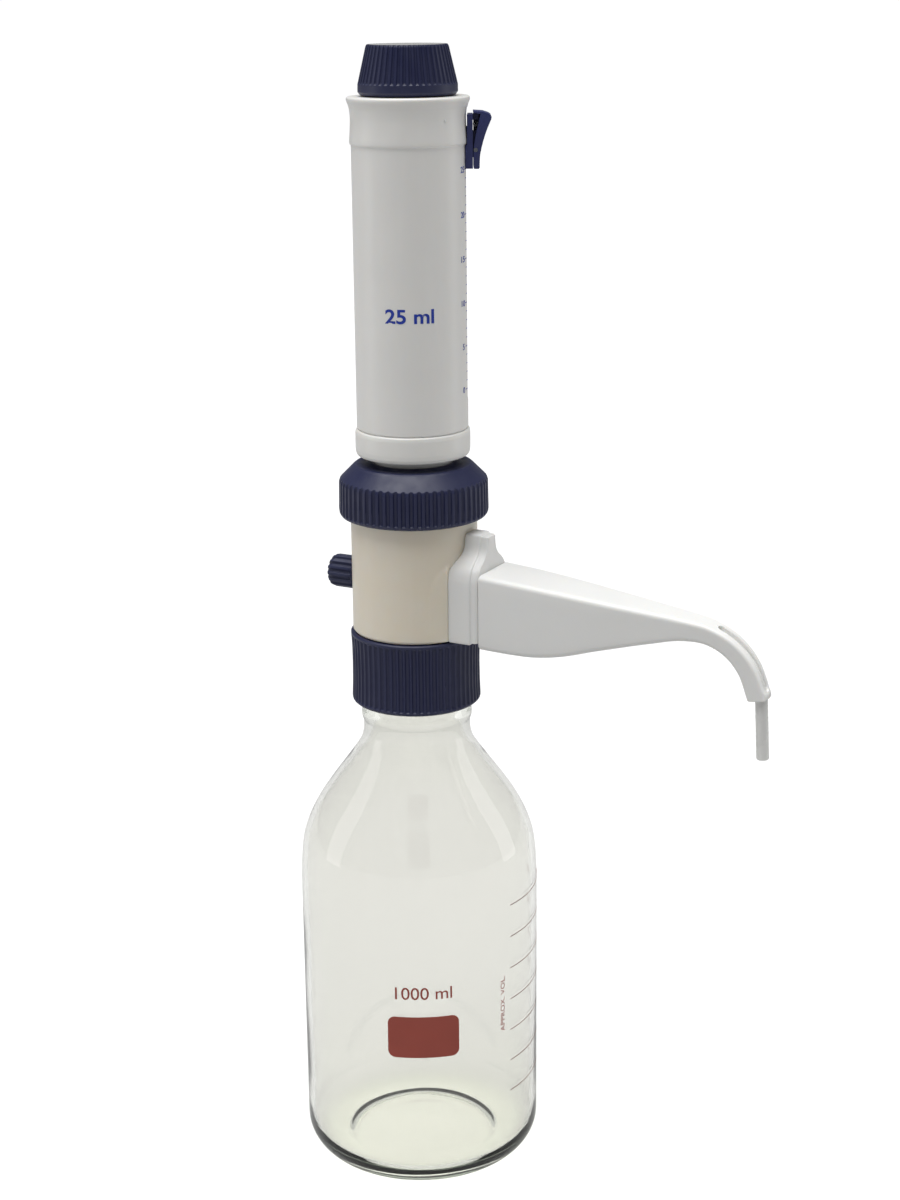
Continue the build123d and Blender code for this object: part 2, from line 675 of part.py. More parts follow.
# =========================================================== vent plug
with BuildPart() as vent_plug:
    with BuildSketch(Plane.XZ):
        Polygon(
            (-39.5, vent_z), (-39.5, vent_z + 5.4), (-38.6, vent_z + 6.5), (-37.6, vent_z + 6.9),
            (-28.2, vent_z + 6.9), (-27.2, vent_z + 6.5), (-26.3, vent_z + 5.0), (-26.3, vent_z + 3.0),
            (-17.6, vent_z + 3.0), (-17.0, vent_z + 2.4), (-17.0, vent_z),
            align=None,
        )
    revolve(axis=Axis((0, 0, vent_z), (1, 0, 0)))
    with BuildSketch(across_x(-40)):
        with Locations((0, vent_z)):
            with PolarLocations(7.2, 14):
                Circle(0.95)
    extrude(amount=12.4, mode=Mode.SUBTRACT)
vent_plug.part.label = "vent_plug"
export_step(vent_plug.part, "parts/vent_plug.step")

with BuildPart() as vent_o_ring:
    with BuildSketch(Plane.XZ):
        with Locations((-24.3, vent_z + 3.9)):
            Circle(0.6)
    revolve(axis=Axis((0, 0, vent_z), (1, 0, 0)))
vent_o_ring.part.label = "vent_o_ring"
export_step(vent_o_ring.part, "parts/vent_o_ring.step")
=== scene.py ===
import math

import bmesh
import bpy
import numpy as np
from mathutils import Matrix, Vector


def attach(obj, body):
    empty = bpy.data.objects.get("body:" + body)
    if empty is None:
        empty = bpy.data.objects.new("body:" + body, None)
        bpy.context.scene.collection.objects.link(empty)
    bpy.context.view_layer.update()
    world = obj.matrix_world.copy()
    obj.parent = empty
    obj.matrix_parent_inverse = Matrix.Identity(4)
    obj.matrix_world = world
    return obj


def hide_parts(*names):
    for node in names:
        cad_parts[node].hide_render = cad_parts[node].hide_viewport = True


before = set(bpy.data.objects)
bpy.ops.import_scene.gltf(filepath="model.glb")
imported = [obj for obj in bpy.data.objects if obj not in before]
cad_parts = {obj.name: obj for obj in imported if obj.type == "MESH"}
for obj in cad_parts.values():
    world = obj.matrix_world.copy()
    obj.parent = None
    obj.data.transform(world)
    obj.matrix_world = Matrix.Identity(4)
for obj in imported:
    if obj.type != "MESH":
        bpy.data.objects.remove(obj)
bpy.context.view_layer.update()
MM = 0.001
rad = math.radians
scene = bpy.context.scene


# ------------------------------------------------------------------ camera
def make_camera():
    pitch, roll, turn = rad(16.35), rad(-0.58), rad(28.0)
    fwd = Vector((-math.sin(turn) * math.cos(pitch), math.cos(turn) * math.cos(pitch), -math.sin(pitch)))
    right = Vector((math.cos(turn), math.sin(turn), 0.0))
    up = right.cross(fwd)
    r2 = math.cos(roll) * right + math.sin(roll) * up
    u2 = -math.sin(roll) * right + math.cos(roll) * up
    cam = bpy.data.cameras.new("camera")
    cam.lens, cam.sensor_width = 63.217, 36.0
    cam.clip_start, cam.clip_end = 0.05, 50
    ob = bpy.data.objects.new("camera", cam)
    scene.collection.objects.link(ob)
    m = Matrix((r2, u2, -fwd)).transposed().to_4x4()
    m.translation = Vector((0.4062, -0.73335, 0.49395))
    ob.matrix_world = m
    scene.camera = ob


make_camera()
scene.view_settings.view_transform = "Standard"
scene.view_settings.look = "None"


# --------------------------------------------------------------- materials
def srgb(r, g, b):
    def f(c):
        c /= 255.0
        return c / 12.92 if c <= 0.04045 else ((c + 0.055) / 1.055) ** 2.4

    return (f(r), f(g), f(b), 1.0)


def shade(c, k):
    return (min(1.0, c[0] * k), min(1.0, c[1] * k), min(1.0, c[2] * k), 1.0)


def noise(nt, coord, scale, detail=3.0, rough=0.55):
    n = nt.nodes.new("ShaderNodeTexNoise")
    n.inputs["Scale"].default_value = scale
    n.inputs["Detail"].default_value = detail
    n.inputs["Roughness"].default_value = rough
    nt.links.new(coord, n.inputs["Vector"])
    return n.outputs["Fac"]


def ramp(nt, fac, lo, hi, a=0.35, b=0.65):
    m = nt.nodes.new("ShaderNodeMapRange")
    m.inputs["From Min"].default_value = a
    m.inputs["From Max"].default_value = b
    m.inputs["To Min"].default_value = lo
    m.inputs["To Max"].default_value = hi
    nt.links.new(fac, m.inputs["Value"])
    return m.outputs["Result"]


def mix_colour(nt, fac, a, b):
    m = nt.nodes.new("ShaderNodeMix")
    m.data_type = "RGBA"
    for s, v in ((6, a), (7, b)):
        if isinstance(v, tuple):
            m.inputs[s].default_value = v
        else:
            nt.links.new(v, m.inputs[s])
    nt.links.new(fac, m.inputs[0])
    return m.outputs[2]


def plastic(
    name, colour, rough=0.38, vary=0.05, grain=0.03, grain_scale=4200.0, specular=0.5, metallic=0.0,
    flow=0.0, sub=0.0, sub_scale=0.002, sub_radius=(1.0, 0.8, 0.6), rough_vary=0.07, coat=0.0, tint=None, streak=0.0,
):
    """A moulded or machined surface: broad tone drift, fine speckle, moulded grain, uneven gloss."""
    mat = bpy.data.materials.new(name)
    mat.use_nodes = True
    nt = mat.node_tree
    p = nt.nodes["Principled BSDF"]
    coord = nt.nodes.new("ShaderNodeTexCoord").outputs["Object"]
    broad = noise(nt, coord, 38.0, 2.0)
    fine = noise(nt, coord, 900.0, 4.0)
    tone = mix_colour(nt, ramp(nt, broad, 0.0, 1.0), shade(colour, 1 - vary), shade(tint or colour, 1 + vary))
    tone = mix_colour(nt, ramp(nt, fine, 0.0, 0.10, 0.45, 0.75), tone, shade(colour, 1 + 1.5 * vary))
    if flow:
        # soft vertical flow lines left by moulding
        stretch = nt.nodes.new("ShaderNodeMapping")
        stretch.inputs["Scale"].default_value = (1.0, 1.0, 0.06)
        nt.links.new(coord, stretch.inputs["Vector"])
        lines = noise(nt, stretch.outputs["Vector"], 260.0, 2.0)
        tone = mix_colour(nt, ramp(nt, lines, 0.0, flow), tone, shade(colour, 1 - 2.5 * vary))
    nt.links.new(tone, p.inputs["Base Color"])
    gloss = noise(nt, coord, 150.0, 3.0)
    nt.links.new(ramp(nt, gloss, rough - rough_vary, rough + rough_vary), p.inputs["Roughness"])
    p.inputs["Metallic"].default_value = metallic
    p.inputs["Specular IOR Level"].default_value = specular
    if coat:
        p.inputs["Coat Weight"].default_value = coat
        p.inputs["Coat Roughness"].default_value = 0.12
    if sub:
        p.inputs["Subsurface Weight"].default_value = sub
        p.inputs["Subsurface Scale"].default_value = sub_scale
        p.inputs["Subsurface Radius"].default_value = sub_radius
    b = nt.nodes.new("ShaderNodeBump")
    b.inputs["Strength"].default_value = grain * 8
    b.inputs["Distance"].default_value = 0.00003
    nt.links.new(noise(nt, coord, grain_scale, 2.0), b.inputs["Height"])
    if streak:
        # turned or brushed lines
        fl = nt.nodes.new("ShaderNodeMapping")
        fl.inputs["Scale"].default_value = (1.0, 1.0, 30.0)
        nt.links.new(coord, fl.inputs["Vector"])
        b2 = nt.nodes.new("ShaderNodeBump")
        b2.inputs["Strength"].default_value = streak
        b2.inputs["Distance"].default_value = 0.00002
        nt.links.new(noise(nt, fl.outputs["Vector"], 300.0, 3.0), b2.inputs["Height"])
        nt.links.new(b.outputs["Normal"], b2.inputs["Normal"])
        nt.links.new(b2.outputs["Normal"], p.inputs["Normal"])
    else:
        nt.links.new(b.outputs["Normal"], p.inputs["Normal"])
    return mat


def glass(name, tint, density, clear=0.9, rough=0.0, ior=1.5, wave=0.0, body=(1.0, 1.0, 1.0, 1.0)):
    """Clear glass: refracting surface, a faint tint that deepens with thickness, and light passing for lamps."""
    mat = bpy.data.materials.new(name)
    mat.use_nodes = True
    nt = mat.node_tree
    out = nt.nodes["Material Output"]
    p = nt.nodes["Principled BSDF"]
    p.inputs["Base Color"].default_value = body
    p.inputs["Transmission Weight"].default_value = 1.0
    p.inputs["IOR"].default_value = ior
    coord = nt.nodes.new("ShaderNodeTexCoord").outputs["Object"]
    smudge = noise(nt, coord, 22.0, 3.0)
    nt.links.new(ramp(nt, smudge, rough, rough + 0.012, 0.45, 0.7), p.inputs["Roughness"])
    if wave:
        b = nt.nodes.new("ShaderNodeBump")
        b.inputs["Strength"].default_value = wave
        b.inputs["Distance"].default_value = 0.0004
        nt.links.new(noise(nt, coord, 26.0, 1.5), b.inputs["Height"])
        nt.links.new(b.outputs["Normal"], p.inputs["Normal"])
    t = nt.nodes.new("ShaderNodeBsdfTransparent")
    t.inputs["Color"].default_value = (clear, clear, clear * 0.985, 1)
    lp = nt.nodes.new("ShaderNodeLightPath")
    mx = nt.nodes.new("ShaderNodeMixShader")
    nt.links.new(lp.outputs["Is Shadow Ray"], mx.inputs[0])
    nt.links.new(p.outputs[0], mx.inputs[1])
    nt.links.new(t.outputs[0], mx.inputs[2])
    nt.links.new(mx.outputs[0], out.inputs["Surface"])
    if density:
        a = nt.nodes.new("ShaderNodeVolumeAbsorption")
        a.inputs["Color"].default_value = tint
        a.inputs["Density"].default_value = density
        nt.links.new(a.outputs[0], out.inputs["Volume"])
    return mat


M = {}
NAVY = srgb(32, 37, 72)
M["navy"] = plastic("navy_moulded", NAVY, rough=0.42, vary=0.10, grain=0.05, specular=0.42, tint=srgb(33, 37, 68))
M["navy_slider"] = plastic("navy_slider", srgb(42, 48, 98), rough=0.40, vary=0.08, grain=0.05, specular=0.42)
M["sleeve"] = plastic(
    "sleeve_grey_white", srgb(229, 228, 225), rough=0.33, vary=0.012, grain=0.012, specular=0.45,
    sub=0.25, sub_scale=0.0015, flow=0.25, rough_vary=0.02,
)
M["end_ring"] = plastic(
    "end_ring_white", srgb(230, 229, 225), rough=0.30, vary=0.012, grain=0.012, sub=0.25, sub_scale=0.0015, rough_vary=0.02
)
M["cream"] = plastic(
    "block_cream", srgb(228, 219, 201), rough=0.34, vary=0.018, grain=0.015, specular=0.45, sub=0.45, sub_scale=0.004,
    sub_radius=(1.0, 0.75, 0.5), tint=srgb(226, 219, 205), flow=0.2, rough_vary=0.025,
)
M["white"] = plastic(
    "nozzle_white", srgb(228, 228, 226), rough=0.36, vary=0.010, grain=0.018, specular=0.45, sub=0.2, sub_scale=0.0015,
    rough_vary=0.025,
)
M["disc"] = plastic("cap_disc_grey", srgb(168, 168, 166), rough=0.34, vary=0.02, grain=0.03)
M["casing"] = plastic("casing_grey_white", srgb(214, 214, 212), rough=0.40, vary=0.02, grain=0.02)
M["fluoro"] = plastic("fluoropolymer_white", srgb(236, 236, 232), rough=0.45, vary=0.02, grain=0.03, sub=0.4, sub_scale=0.002)
M["ceramic"] = plastic("ceramic_white", srgb(240, 238, 232), rough=0.12, vary=0.02, grain=0.01, coat=0.4)
M["ruby"] = plastic("ruby_ball", srgb(150, 20, 40), rough=0.06, vary=0.04, grain=0.0, coat=0.8)
M["rubber"] = plastic("seal_rubber", srgb(38, 38, 40), rough=0.62, vary=0.12, grain=0.08, specular=0.3)
M["steel"] = plastic("spring_steel", srgb(186, 186, 190), rough=0.28, vary=0.05, grain=0.02, metallic=1.0, streak=0.2)
M["pin"] = plastic("pin_steel", srgb(120, 122, 128), rough=0.34, vary=0.05, grain=0.02, metallic=1.0, streak=0.2)
M["rod"] = plastic("piston_rod_ceramic", srgb(226, 226, 224), rough=0.2, vary=0.02, grain=0.01, streak=0.15)
M["tube"] = plastic(
    "tube_milky", srgb(222, 222, 218), rough=0.28, vary=0.02, grain=0.02, specular=0.4, sub=0.8, sub_scale=0.003,
    sub_radius=(1.0, 1.0, 0.95),
)
M["ink_blue"] = plastic("ink_blue", srgb(40, 62, 158), rough=0.5, vary=0.08, grain=0.04, specular=0.3)
M["ink_red"] = plastic("ink_red", srgb(158, 74, 62), rough=0.45, vary=0.07, grain=0.05, specular=0.35)
M["ink_line"] = plastic("ink_line", srgb(128, 92, 82), rough=0.45, vary=0.07, grain=0.05, specular=0.35)
M["glass"] = glass("bottle_glass", (0.72, 0.76, 0.70, 1.0), 32.0, clear=0.93, wave=0.05, body=(0.825, 0.82, 0.795, 1.0))
M["bore_glass"] = glass("cylinder_glass", (0.85, 0.90, 0.88, 1.0), 30.0, clear=0.95)


# ---------------------------------------------------------------- geometry
def fillet(points, closed=True, segs=4):
    """Rounds the corners of a polygon: each point is (r, z) or (r, z, corner radius)."""
    out, n = [], len(points)
    for i, p in enumerate(points):
        x = np.array(p[:2], float)
        size = p[2] if len(p) > 2 else 0.0
        if size <= 0 or (not closed and i in (0, n - 1)):
            out.append(x)
            continue
        a, b = np.array(points[i - 1][:2], float), np.array(points[(i + 1) % n][:2], float)
        la, lb = np.linalg.norm(a - x), np.linalg.norm(b - x)
        u, v = (a - x) / la, (b - x) / lb
        ang = math.acos(max(-1, min(1, float(u @ v))))
        if ang > 3.12:
            out.append(x)
            continue
        t = min(size / math.tan(ang / 2), 0.49 * la, 0.49 * lb)
        r = t * math.tan(ang / 2)
        cen = x + (u + v) / np.linalg.norm(u + v) * (r / math.sin(ang / 2))
        s, e = x + u * t - cen, x + v * t - cen
        whole = math.acos(max(-1, min(1, float(s @ e) / (r * r))))
        for k in range(segs + 1):
            f = k / segs
            out.append(cen + (math.sin((1 - f) * whole) * s + math.sin(f * whole) * e) / math.sin(whole))
    return np.array(out)


def smooth(points, step=1.0, least=3):
    """A smooth line through the points, its own steps about that long."""
    p = np.array(points, float)
    d = np.linalg.norm(np.diff(p, axis=0), axis=1)
    m = np.zeros_like(p)
    for i in range(len(p)):
        if i == 0:
            m[i] = (p[1] - p[0]) / d[0]
        elif i == len(p) - 1:
            m[i] = (p[-1] - p[-2]) / d[-1]
        else:
            a, b = (p[i] - p[i - 1]) / d[i - 1], (p[i + 1] - p[i]) / d[i]
            m[i] = (a * d[i] + b * d[i - 1]) / (d[i] + d[i - 1])
    out = []
    for i in range(len(p) - 1):
        n = max(least, int(round(d[i] / step)))
        for k in range(n):
            t = k / n
            h = (2 * t**3 - 3 * t * t + 1, t**3 - 2 * t * t + t, -2 * t**3 + 3 * t * t, t**3 - t * t)
            out.append(h[0] * p[i] + h[1] * d[i] * m[i] + h[2] * p[i + 1] + h[3] * d[i] * m[i + 1])
    out.append(p[-1])
    return np.array(out)


def dense(points, step, closed=False):
    """The same line with extra points on its long runs."""
    p = [np.array(q, float) for q in points]
    if closed:
        p.append(p[0])
    out = []
    for a, b in zip(p[:-1], p[1:]):
        n = max(1, int(math.ceil(np.linalg.norm(b - a) / step)))
        out += [a + (b - a) * k / n for k in range(n)]
    if not closed:
        out.append(p[-1])
    return np.array(out)


def piece(name, verts, faces, body, material, replaces=(), sharp=32.0, fix=True, smooth_shading=True):
    me = bpy.data.meshes.new(name)
    me.from_pydata((np.asarray(verts, float) * MM).tolist(), [], [tuple(int(i) for i in f) for f in faces])
    if fix:
        bm = bmesh.new()
        bm.from_mesh(me)
        bmesh.ops.recalc_face_normals(bm, faces=bm.faces)
        bm.to_mesh(me)
        bm.free()
    me.update()
    ob = bpy.data.objects.new(name, me)
    scene.collection.objects.link(ob)
    me.materials.append(material)
    if smooth_shading:
        me.shade_smooth()
        me.set_sharp_from_angle(angle=rad(sharp))
    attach(ob, body)
    if replaces:
        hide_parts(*replaces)
    return ob


def lathe(prof, segs, shape=None, loop=True):
    """Turns a profile about Z. A loop is a closed outline off the axis; otherwise both ends lie on the axis."""
    prof = np.asarray(prof, float)
    az = np.arange(segs) * 2 * math.pi / segs
    rings = prof if loop else prof[1:-1]
    r = np.repeat(rings[:, :1], segs, axis=1)
    z = np.repeat(rings[:, 1:2], segs, axis=1)
    if shape:
        r, z = shape(r, z, az[None, :])
    v = np.stack([r * np.cos(az), r * np.sin(az), z], axis=2).reshape(-1, 3)
    n = len(rings)
    j = np.arange(segs)
    j2 = (j + 1) % segs
    faces = []
    for i in range(n if loop else n - 1):
        i2 = (i + 1) % n
        faces.append(np.stack([i * segs + j, i * segs + j2, i2 * segs + j2, i2 * segs + j], axis=1))
    faces = np.concatenate(faces).tolist()
    if not loop:
        v = np.vstack([v, [0, 0, prof[0, 1]], [0, 0, prof[-1, 1]]])
        a, b = n * segs, n * segs + 1
        faces += [[a, int(p), int(q)] for p, q in zip(j, j2)]
        faces += [[b, (n - 1) * segs + int(q), (n - 1) * segs + int(p)] for p, q in zip(j, j2)]
    return v, faces


def step_up(x):
    x = np.clip(x, 0.0, 1.0)
    return x * x * (3 - 2 * x)


def groove(az, count, width, phase=0.0):
    """0 on a rib, up to 1 at the middle of each groove. width is the groove's share of the pitch."""
    t = (az * count / (2 * math.pi) + phase) % 1.0
    d = np.abs(t - 0.5) * 2 / width
    return np.sqrt(np.clip(1 - np.clip(d, 0, 1) ** 2, 0, 1)) * step_up((1 - d) * 3.5)


def place(verts, origin, ax, ay, az):
    """Local coordinates to the part's own, along three given axes."""
    v = np.asarray(verts, float)
    return np.array(origin, float) + v[:, :1] * np.array(ax) + v[:, 1:2] * np.array(ay) + v[:, 2:3] * np.array(az)


# ------------------------------------------------------------------ bottle
def build_bottle():
    outer = [np.array([0.0, 3.4]), np.array([4.0, 3.4])]
    outer += list(smooth([(10, 3.35), (20.5, 2.9), (29.6, 1.75), (32.2, 0.45)], 1.6))
    outer += list(smooth([(33.4, 0.05), (34.8, 0.0), (36.9, 0.25), (41.2, 1.35), (45.6, 3.9), (48.9, 8.0), (50.3, 12.2), (50.5, 15.0)], 0.8))
    outer += [np.array([50.5, z]) for z in np.arange(19.0, 117.5, 3.0)]
    shoulder = smooth(
        [
            (50.5, 118), (50.46, 124), (50.28, 132), (49.7, 140), (48.8, 145.6), (47.1, 151), (44.7, 156.4), (41.6, 162),
            (38.0, 167.4), (34.2, 172.7), (30.3, 178), (26.2, 183.8), (23.5, 188.4), (22.4, 193.2), (22.35, 196.2),
        ],
        1.0,
    )
    outer += list(shoulder)
    outer += list(smooth([(22.55, 197.6), (23.0, 199.0), (23.12, 200.2), (22.95, 201.5), (22.3, 203.0), (21.9, 204.6)], 0.35))
    # neck wall where the screw thread sits, drawn as a plain band without the thread; hidden by the collar but seen
    # through the glass
    for z in np.arange(205.6, 222.0, 0.4):
        outer.append(np.array([21.9, z]))
    outer += list(smooth([(21.9, 222.6), (21.8, 223.8), (21.1, 225.2), (19.4, 226.0), (17.9, 225.2), (17.35, 223.4)], 0.4))
    inner = list(smooth([(17.3, 221.0), (17.3, 212), (17.3, 203)], 2.0))
    inner += list(
        smooth(
            [
                (17.35, 200.5), (17.9, 195.5), (20.3, 188.2), (24.1, 182.4), (28.3, 176.4), (32.1, 171.2), (35.9, 165.9),
                (39.5, 160.6), (42.5, 155.3), (44.8, 150.0), (46.4, 145.2), (47.3, 139.8), (47.9, 132), (48.1, 122),
            ],
            1.0,
        )
    )
    inner += [np.array([48.1, z]) for z in np.arange(118.0, 19.5, -3.0)]
    inner += list(smooth([(48.1, 17.5), (47.7, 13.6), (45.6, 9.6), (42.0, 7.3), (37.2, 6.2), (31, 6.3), (24, 6.6), (16, 6.9), (10, 7.0)], 0.9))
    inner += [np.array([4.0, 7.0]), np.array([0.0, 7.0])]
    n_out = len(outer)
    prof = np.array(outer + inner)

    def wavy(r, z, az):
        # blown wall: the inside runs a little uneven, the outside nearly true
        rows = np.arange(r.shape[0])[:, None]
        inside = rows >= n_out - 1
        amount = np.where(inside, 0.16, 0.02) * step_up((z - 22) / 20) * step_up((199 - z) / 14) * step_up(r / 20 - 1.0)
        w = np.sin(az * 3 + z * 0.021 + 0.7) + 0.6 * np.sin(az * 5 - z * 0.034 + 2.1) + 0.5 * np.sin(z * 0.11 + az * 2)
        base = np.where(inside, 0.10, 0.02) * step_up((12 - z) / 4) * step_up((44 - r) / 6) * step_up((r - 8) / 8)
        return r + amount * w / 2.1, z + base * np.sin(az * 4 + r * 0.25)

    v, f = lathe(prof, 288, wavy, loop=False)
    return piece("glass_bottle", v, f, "bottle_body", M["glass"], ["bottle"], sharp=60)


build_bottle()


# ------------------------------------------------------------------ prints
def text_outline(text, bold=0.0, space=1.0):
    cu = bpy.data.curves.new("text", "FONT")
    cu.body = text
    cu.size = 1.0
    cu.offset = bold
    cu.space_character = space
    cu.resolution_u = 8
    cu.extrude = 0.01
    ob = bpy.data.objects.new("text", cu)
    scene.collection.objects.link(ob)
    bpy.context.view_layer.update()
    dg = bpy.context.evaluated_depsgraph_get()
    me = bpy.data.meshes.new_from_object(ob.evaluated_get(dg))
    bm = bmesh.new()
    bm.from_mesh(me)
    bmesh.ops.triangulate(bm, faces=bm.faces)
    bmesh.ops.remove_doubles(bm, verts=bm.verts, dist=1e-5)
    v = np.array([p.co[:] for p in bm.verts])
    f = [[q.index for q in p.verts] for p in bm.faces]
    bm.free()
    bpy.data.objects.remove(ob)
    bpy.data.meshes.remove(me)
    bpy.data.curves.remove(cu)
    return v, f


def wrapped_text(name, text, r, az, z, height, width, body, material, bold=0.0, upright=True, thick=0.05, space=1.0, lift=0.03):
    """A print on a round wall: az is its middle in degrees, z its lower edge (or its middle for print that runs upwards)."""
    v, f = text_outline(text, bold, space)
    lo, hi = v.min(0), v.max(0)
    x = (v[:, 0] - (lo[0] + hi[0]) / 2) / (hi[0] - lo[0]) * width
    y = (v[:, 1] - lo[1]) / (hi[1] - lo[1]) * height
    h = lift + (v[:, 2] > 0) * thick
    if upright:
        a, zz = rad(az) + x / r, z + y
    else:
        a, zz = rad(az) - (y - height / 2) / r, z + x
    rr = r + h
    return piece(name, np.stack([rr * np.cos(a), rr * np.sin(a), zz], 1), f, body, material, sharp=40)


def wrapped_shape(name, outline, r, body, material, thick=0.05, lift=0.03, step=1.2):
    """A flat closed shape wrapped on a round wall: outline in (azimuth in degrees, z), filled in rows."""
    o = np.array(outline, float)
    zs = np.unique(np.round(np.concatenate([o[:, 1], np.arange(o[:, 1].min(), o[:, 1].max(), step)]), 3))
    n, verts, faces = 25, [], []
    for z in zs:
        cut = []
        for a, b in zip(o, np.roll(o, -1, axis=0)):
            if abs(b[1] - a[1]) < 1e-9:
                if abs(a[1] - z) < 1e-6:
                    cut += [a[0], b[0]]
            elif min(a[1], b[1]) - 1e-6 <= z <= max(a[1], b[1]) + 1e-6:
                cut.append(a[0] + (b[0] - a[0]) * (z - a[1]) / (b[1] - a[1]))
        for az in np.radians(np.linspace(min(cut), max(cut), n)):
            for rr in (r + lift, r + lift + thick):
                verts.append((rr * math.cos(az), rr * math.sin(az), z))
    m = len(zs)

    def at(i, j, k):
        return (i * n + j) * 2 + k

    for i in range(m - 1):
        for j in range(n - 1):
            for k in (0, 1):
                faces.append([at(i, j, k), at(i, j + 1, k), at(i + 1, j + 1, k), at(i + 1, j, k)])
        for j in (0, n - 1):
            faces.append([at(i, j, 0), at(i, j, 1), at(i + 1, j, 1), at(i + 1, j, 0)])
    for i in (0, m - 1):
        for j in range(n - 1):
            faces.append([at(i, j, 0), at(i, j, 1), at(i, j + 1, 1), at(i, j + 1, 0)])
    return piece(name, verts, faces, body, material, sharp=40)


def build_prints():
    body_r = 50.5
    wrapped_text("print_1000_ml", "1000 ml", body_r, -59.9, 91.0, 5.5, 23.8, "bottle_body", M["ink_red"], bold=0.004)
    # plain marking patch
    patch = []
    ra, rz = 3.4, 3.0
    for cx, cz, a0 in ((-43.3, 64.4, -90), (-43.3, 83.1, 0), (-77.0, 83.1, 90), (-77.0, 64.4, 180)):
        sx, sz = (-1 if cx > -60 else 1), (1 if cz < 70 else -1)
        for k in range(9):
            a = rad(a0 + 90 * k / 8)
            patch.append((cx + sx * ra + ra * math.cos(a), cz + sz * rz + rz * math.sin(a)))
    patch = [(a + 0.35 * math.cos((z - 73.7) / 9.4 * math.pi / 2) * (1 if a > -60 else -1), z) for a, z in patch]
    wrapped_shape("print_patch", patch, body_r, "bottle_body", M["ink_red"])
    wrapped_text("print_scale_title", "APPROX. VOL.", body_r, -18.5, 81.8, 2.35, 25.2, "bottle_body", M["ink_red"], upright=False)
    for k in range(7):
        z = 125.3 - 14.32 * k
        a0, a1 = -12.9, 24.0
        wrapped_shape(
            f"print_line_{800 - 100 * k}", [(a0, z - 0.17), (a1, z - 0.17), (a1, z + 0.17), (a0, z + 0.17)], body_r,
            "bottle_body", M["ink_line"],
        )
        wrapped_text(
            f"print_number_{800 - 100 * k}", str(800 - 100 * k), body_r, 32.0, z - 1.6, 3.2, 7.2, "bottle_body",
            M["ink_red"],
        )
    # sleeve: volume, scale beside the slot
    wrapped_text("print_25_ml", "25 ml", 22.55, -62.6, 366.4, 5.7, 19.6, "piston_body", M["ink_blue"], bold=0.022)
    for v in range(0, 26):
        z = 424.1 - (25 - v) * 3.456
        long = 3.0 if v % 5 == 0 else 1.7
        for side in (-1, 1):
            a0 = 28.0 + side * (math.degrees(2.9 / 22.55) + 2.2)
            a1 = a0 + side * math.degrees(long / 22.55)
            lo, hi = min(a0, a1), max(a0, a1)
            wrapped_shape(
                f"scale_tick_{v}_{'a' if side < 0 else 'b'}", [(lo, z - 0.12), (hi, z - 0.12), (hi, z + 0.12), (lo, z + 0.12)],
                22.55, "piston_body", M["ink_blue"],
            )
        if v % 5 == 0:
            for side in (-1, 1):
                wrapped_text(
                    f"scale_number_{v}_{'a' if side < 0 else 'b'}", str(v), 22.55, 28.0 + side * 22.5, z - 1.2, 2.4,
                    3.3 if v > 9 else 1.6, "piston_body", M["ink_blue"], bold=0.008,
                )


build_prints()


# ---------------------------------------------------------- knurled pieces
def build_collar():
    prof = fillet(
        [
            (22.2, 206.1, 0.1), (25.9, 206.1, 0.3), (26.65, 206.8, 0.5), (26.85, 207.5, 0.5), (26.6, 214, 8), (26.5, 222, 8),
            (26.6, 230, 8), (26.9, 235.0, 0.5), (26.9, 235.8, 0.35), (26.4, 236.3, 0.3), (20.5, 236.3, 0.2), (20.5, 229.6, 0.1),
            (22.2, 229.6, 0.1),
        ]
    )
    prof = dense(prof, 0.6, closed=True)

    def ribs(r, z, az):
        cut = step_up((z - 207.3) / 0.9) * step_up((235.15 - z) / 0.9) * (r > 25.5)
        return r - 0.78 * cut * groove(az, 60, 0.74), z

    v, f = lathe(prof, 960, ribs)
    piece("collar_ribbed", v, f, "collar_body", M["navy"], ["collar"], sharp=50)


def build_locking_ring():
    prof = fillet(
        [
            (26.3, 284.9, 0.1), (28.3, 284.9, 0.4), (29.7, 285.5, 0.7), (30.45, 286.7, 0.8), (30.6, 288.2, 1.5), (30.5, 293, 5),
            (30.38, 299.4, 0.6), (29.95, 300.65, 0.9), (24.6, 306.0, 0.5), (23.7, 306.7, 0.5), (20.0, 306.8, 0.8),
            (17.6, 307.6, 0.3), (16.6, 307.6, 0.15), (16.4, 307.3, 0.1), (16.4, 296.8, 0.1), (24.35, 296.8, 0.1),
            (24.35, 286.5, 0.1), (26.3, 286.5, 0.1),
        ]
    )
    fine, coarse = [], dense(prof, 0.7, closed=True)
    for i, p in enumerate(coarse):
        q = coarse[(i + 1) % len(coarse)]
        fine.append(p)
        if p[0] > 27.5 and 298.5 < p[1] < 303.2:
            fine += [p + (q - p) * k / 5 for k in range(1, 5)]
    prof = np.array(fine)

    def ribs(r, z, az):
        g = groove(az, 60, 0.70)
        floor = 30.62 - 1.12 * g
        low = step_up((z - 286.25) / 0.9) * (r > 28.0) * (z < 303.5)
        soft = 0.12
        target = np.minimum(r, floor) - 0.0
        near = np.clip((soft - np.abs(r - floor)) / soft, 0, 1) ** 2 * soft * 0.25
        return np.where(low > 0, r + (target - near * (g > 0.02) - r) * low, r), z

    v, f = lathe(prof, 960, ribs)
    piece("locking_ring_ribbed", v, f, "locking_ring_body", M["navy"], ["locking_ring"], sharp=50)


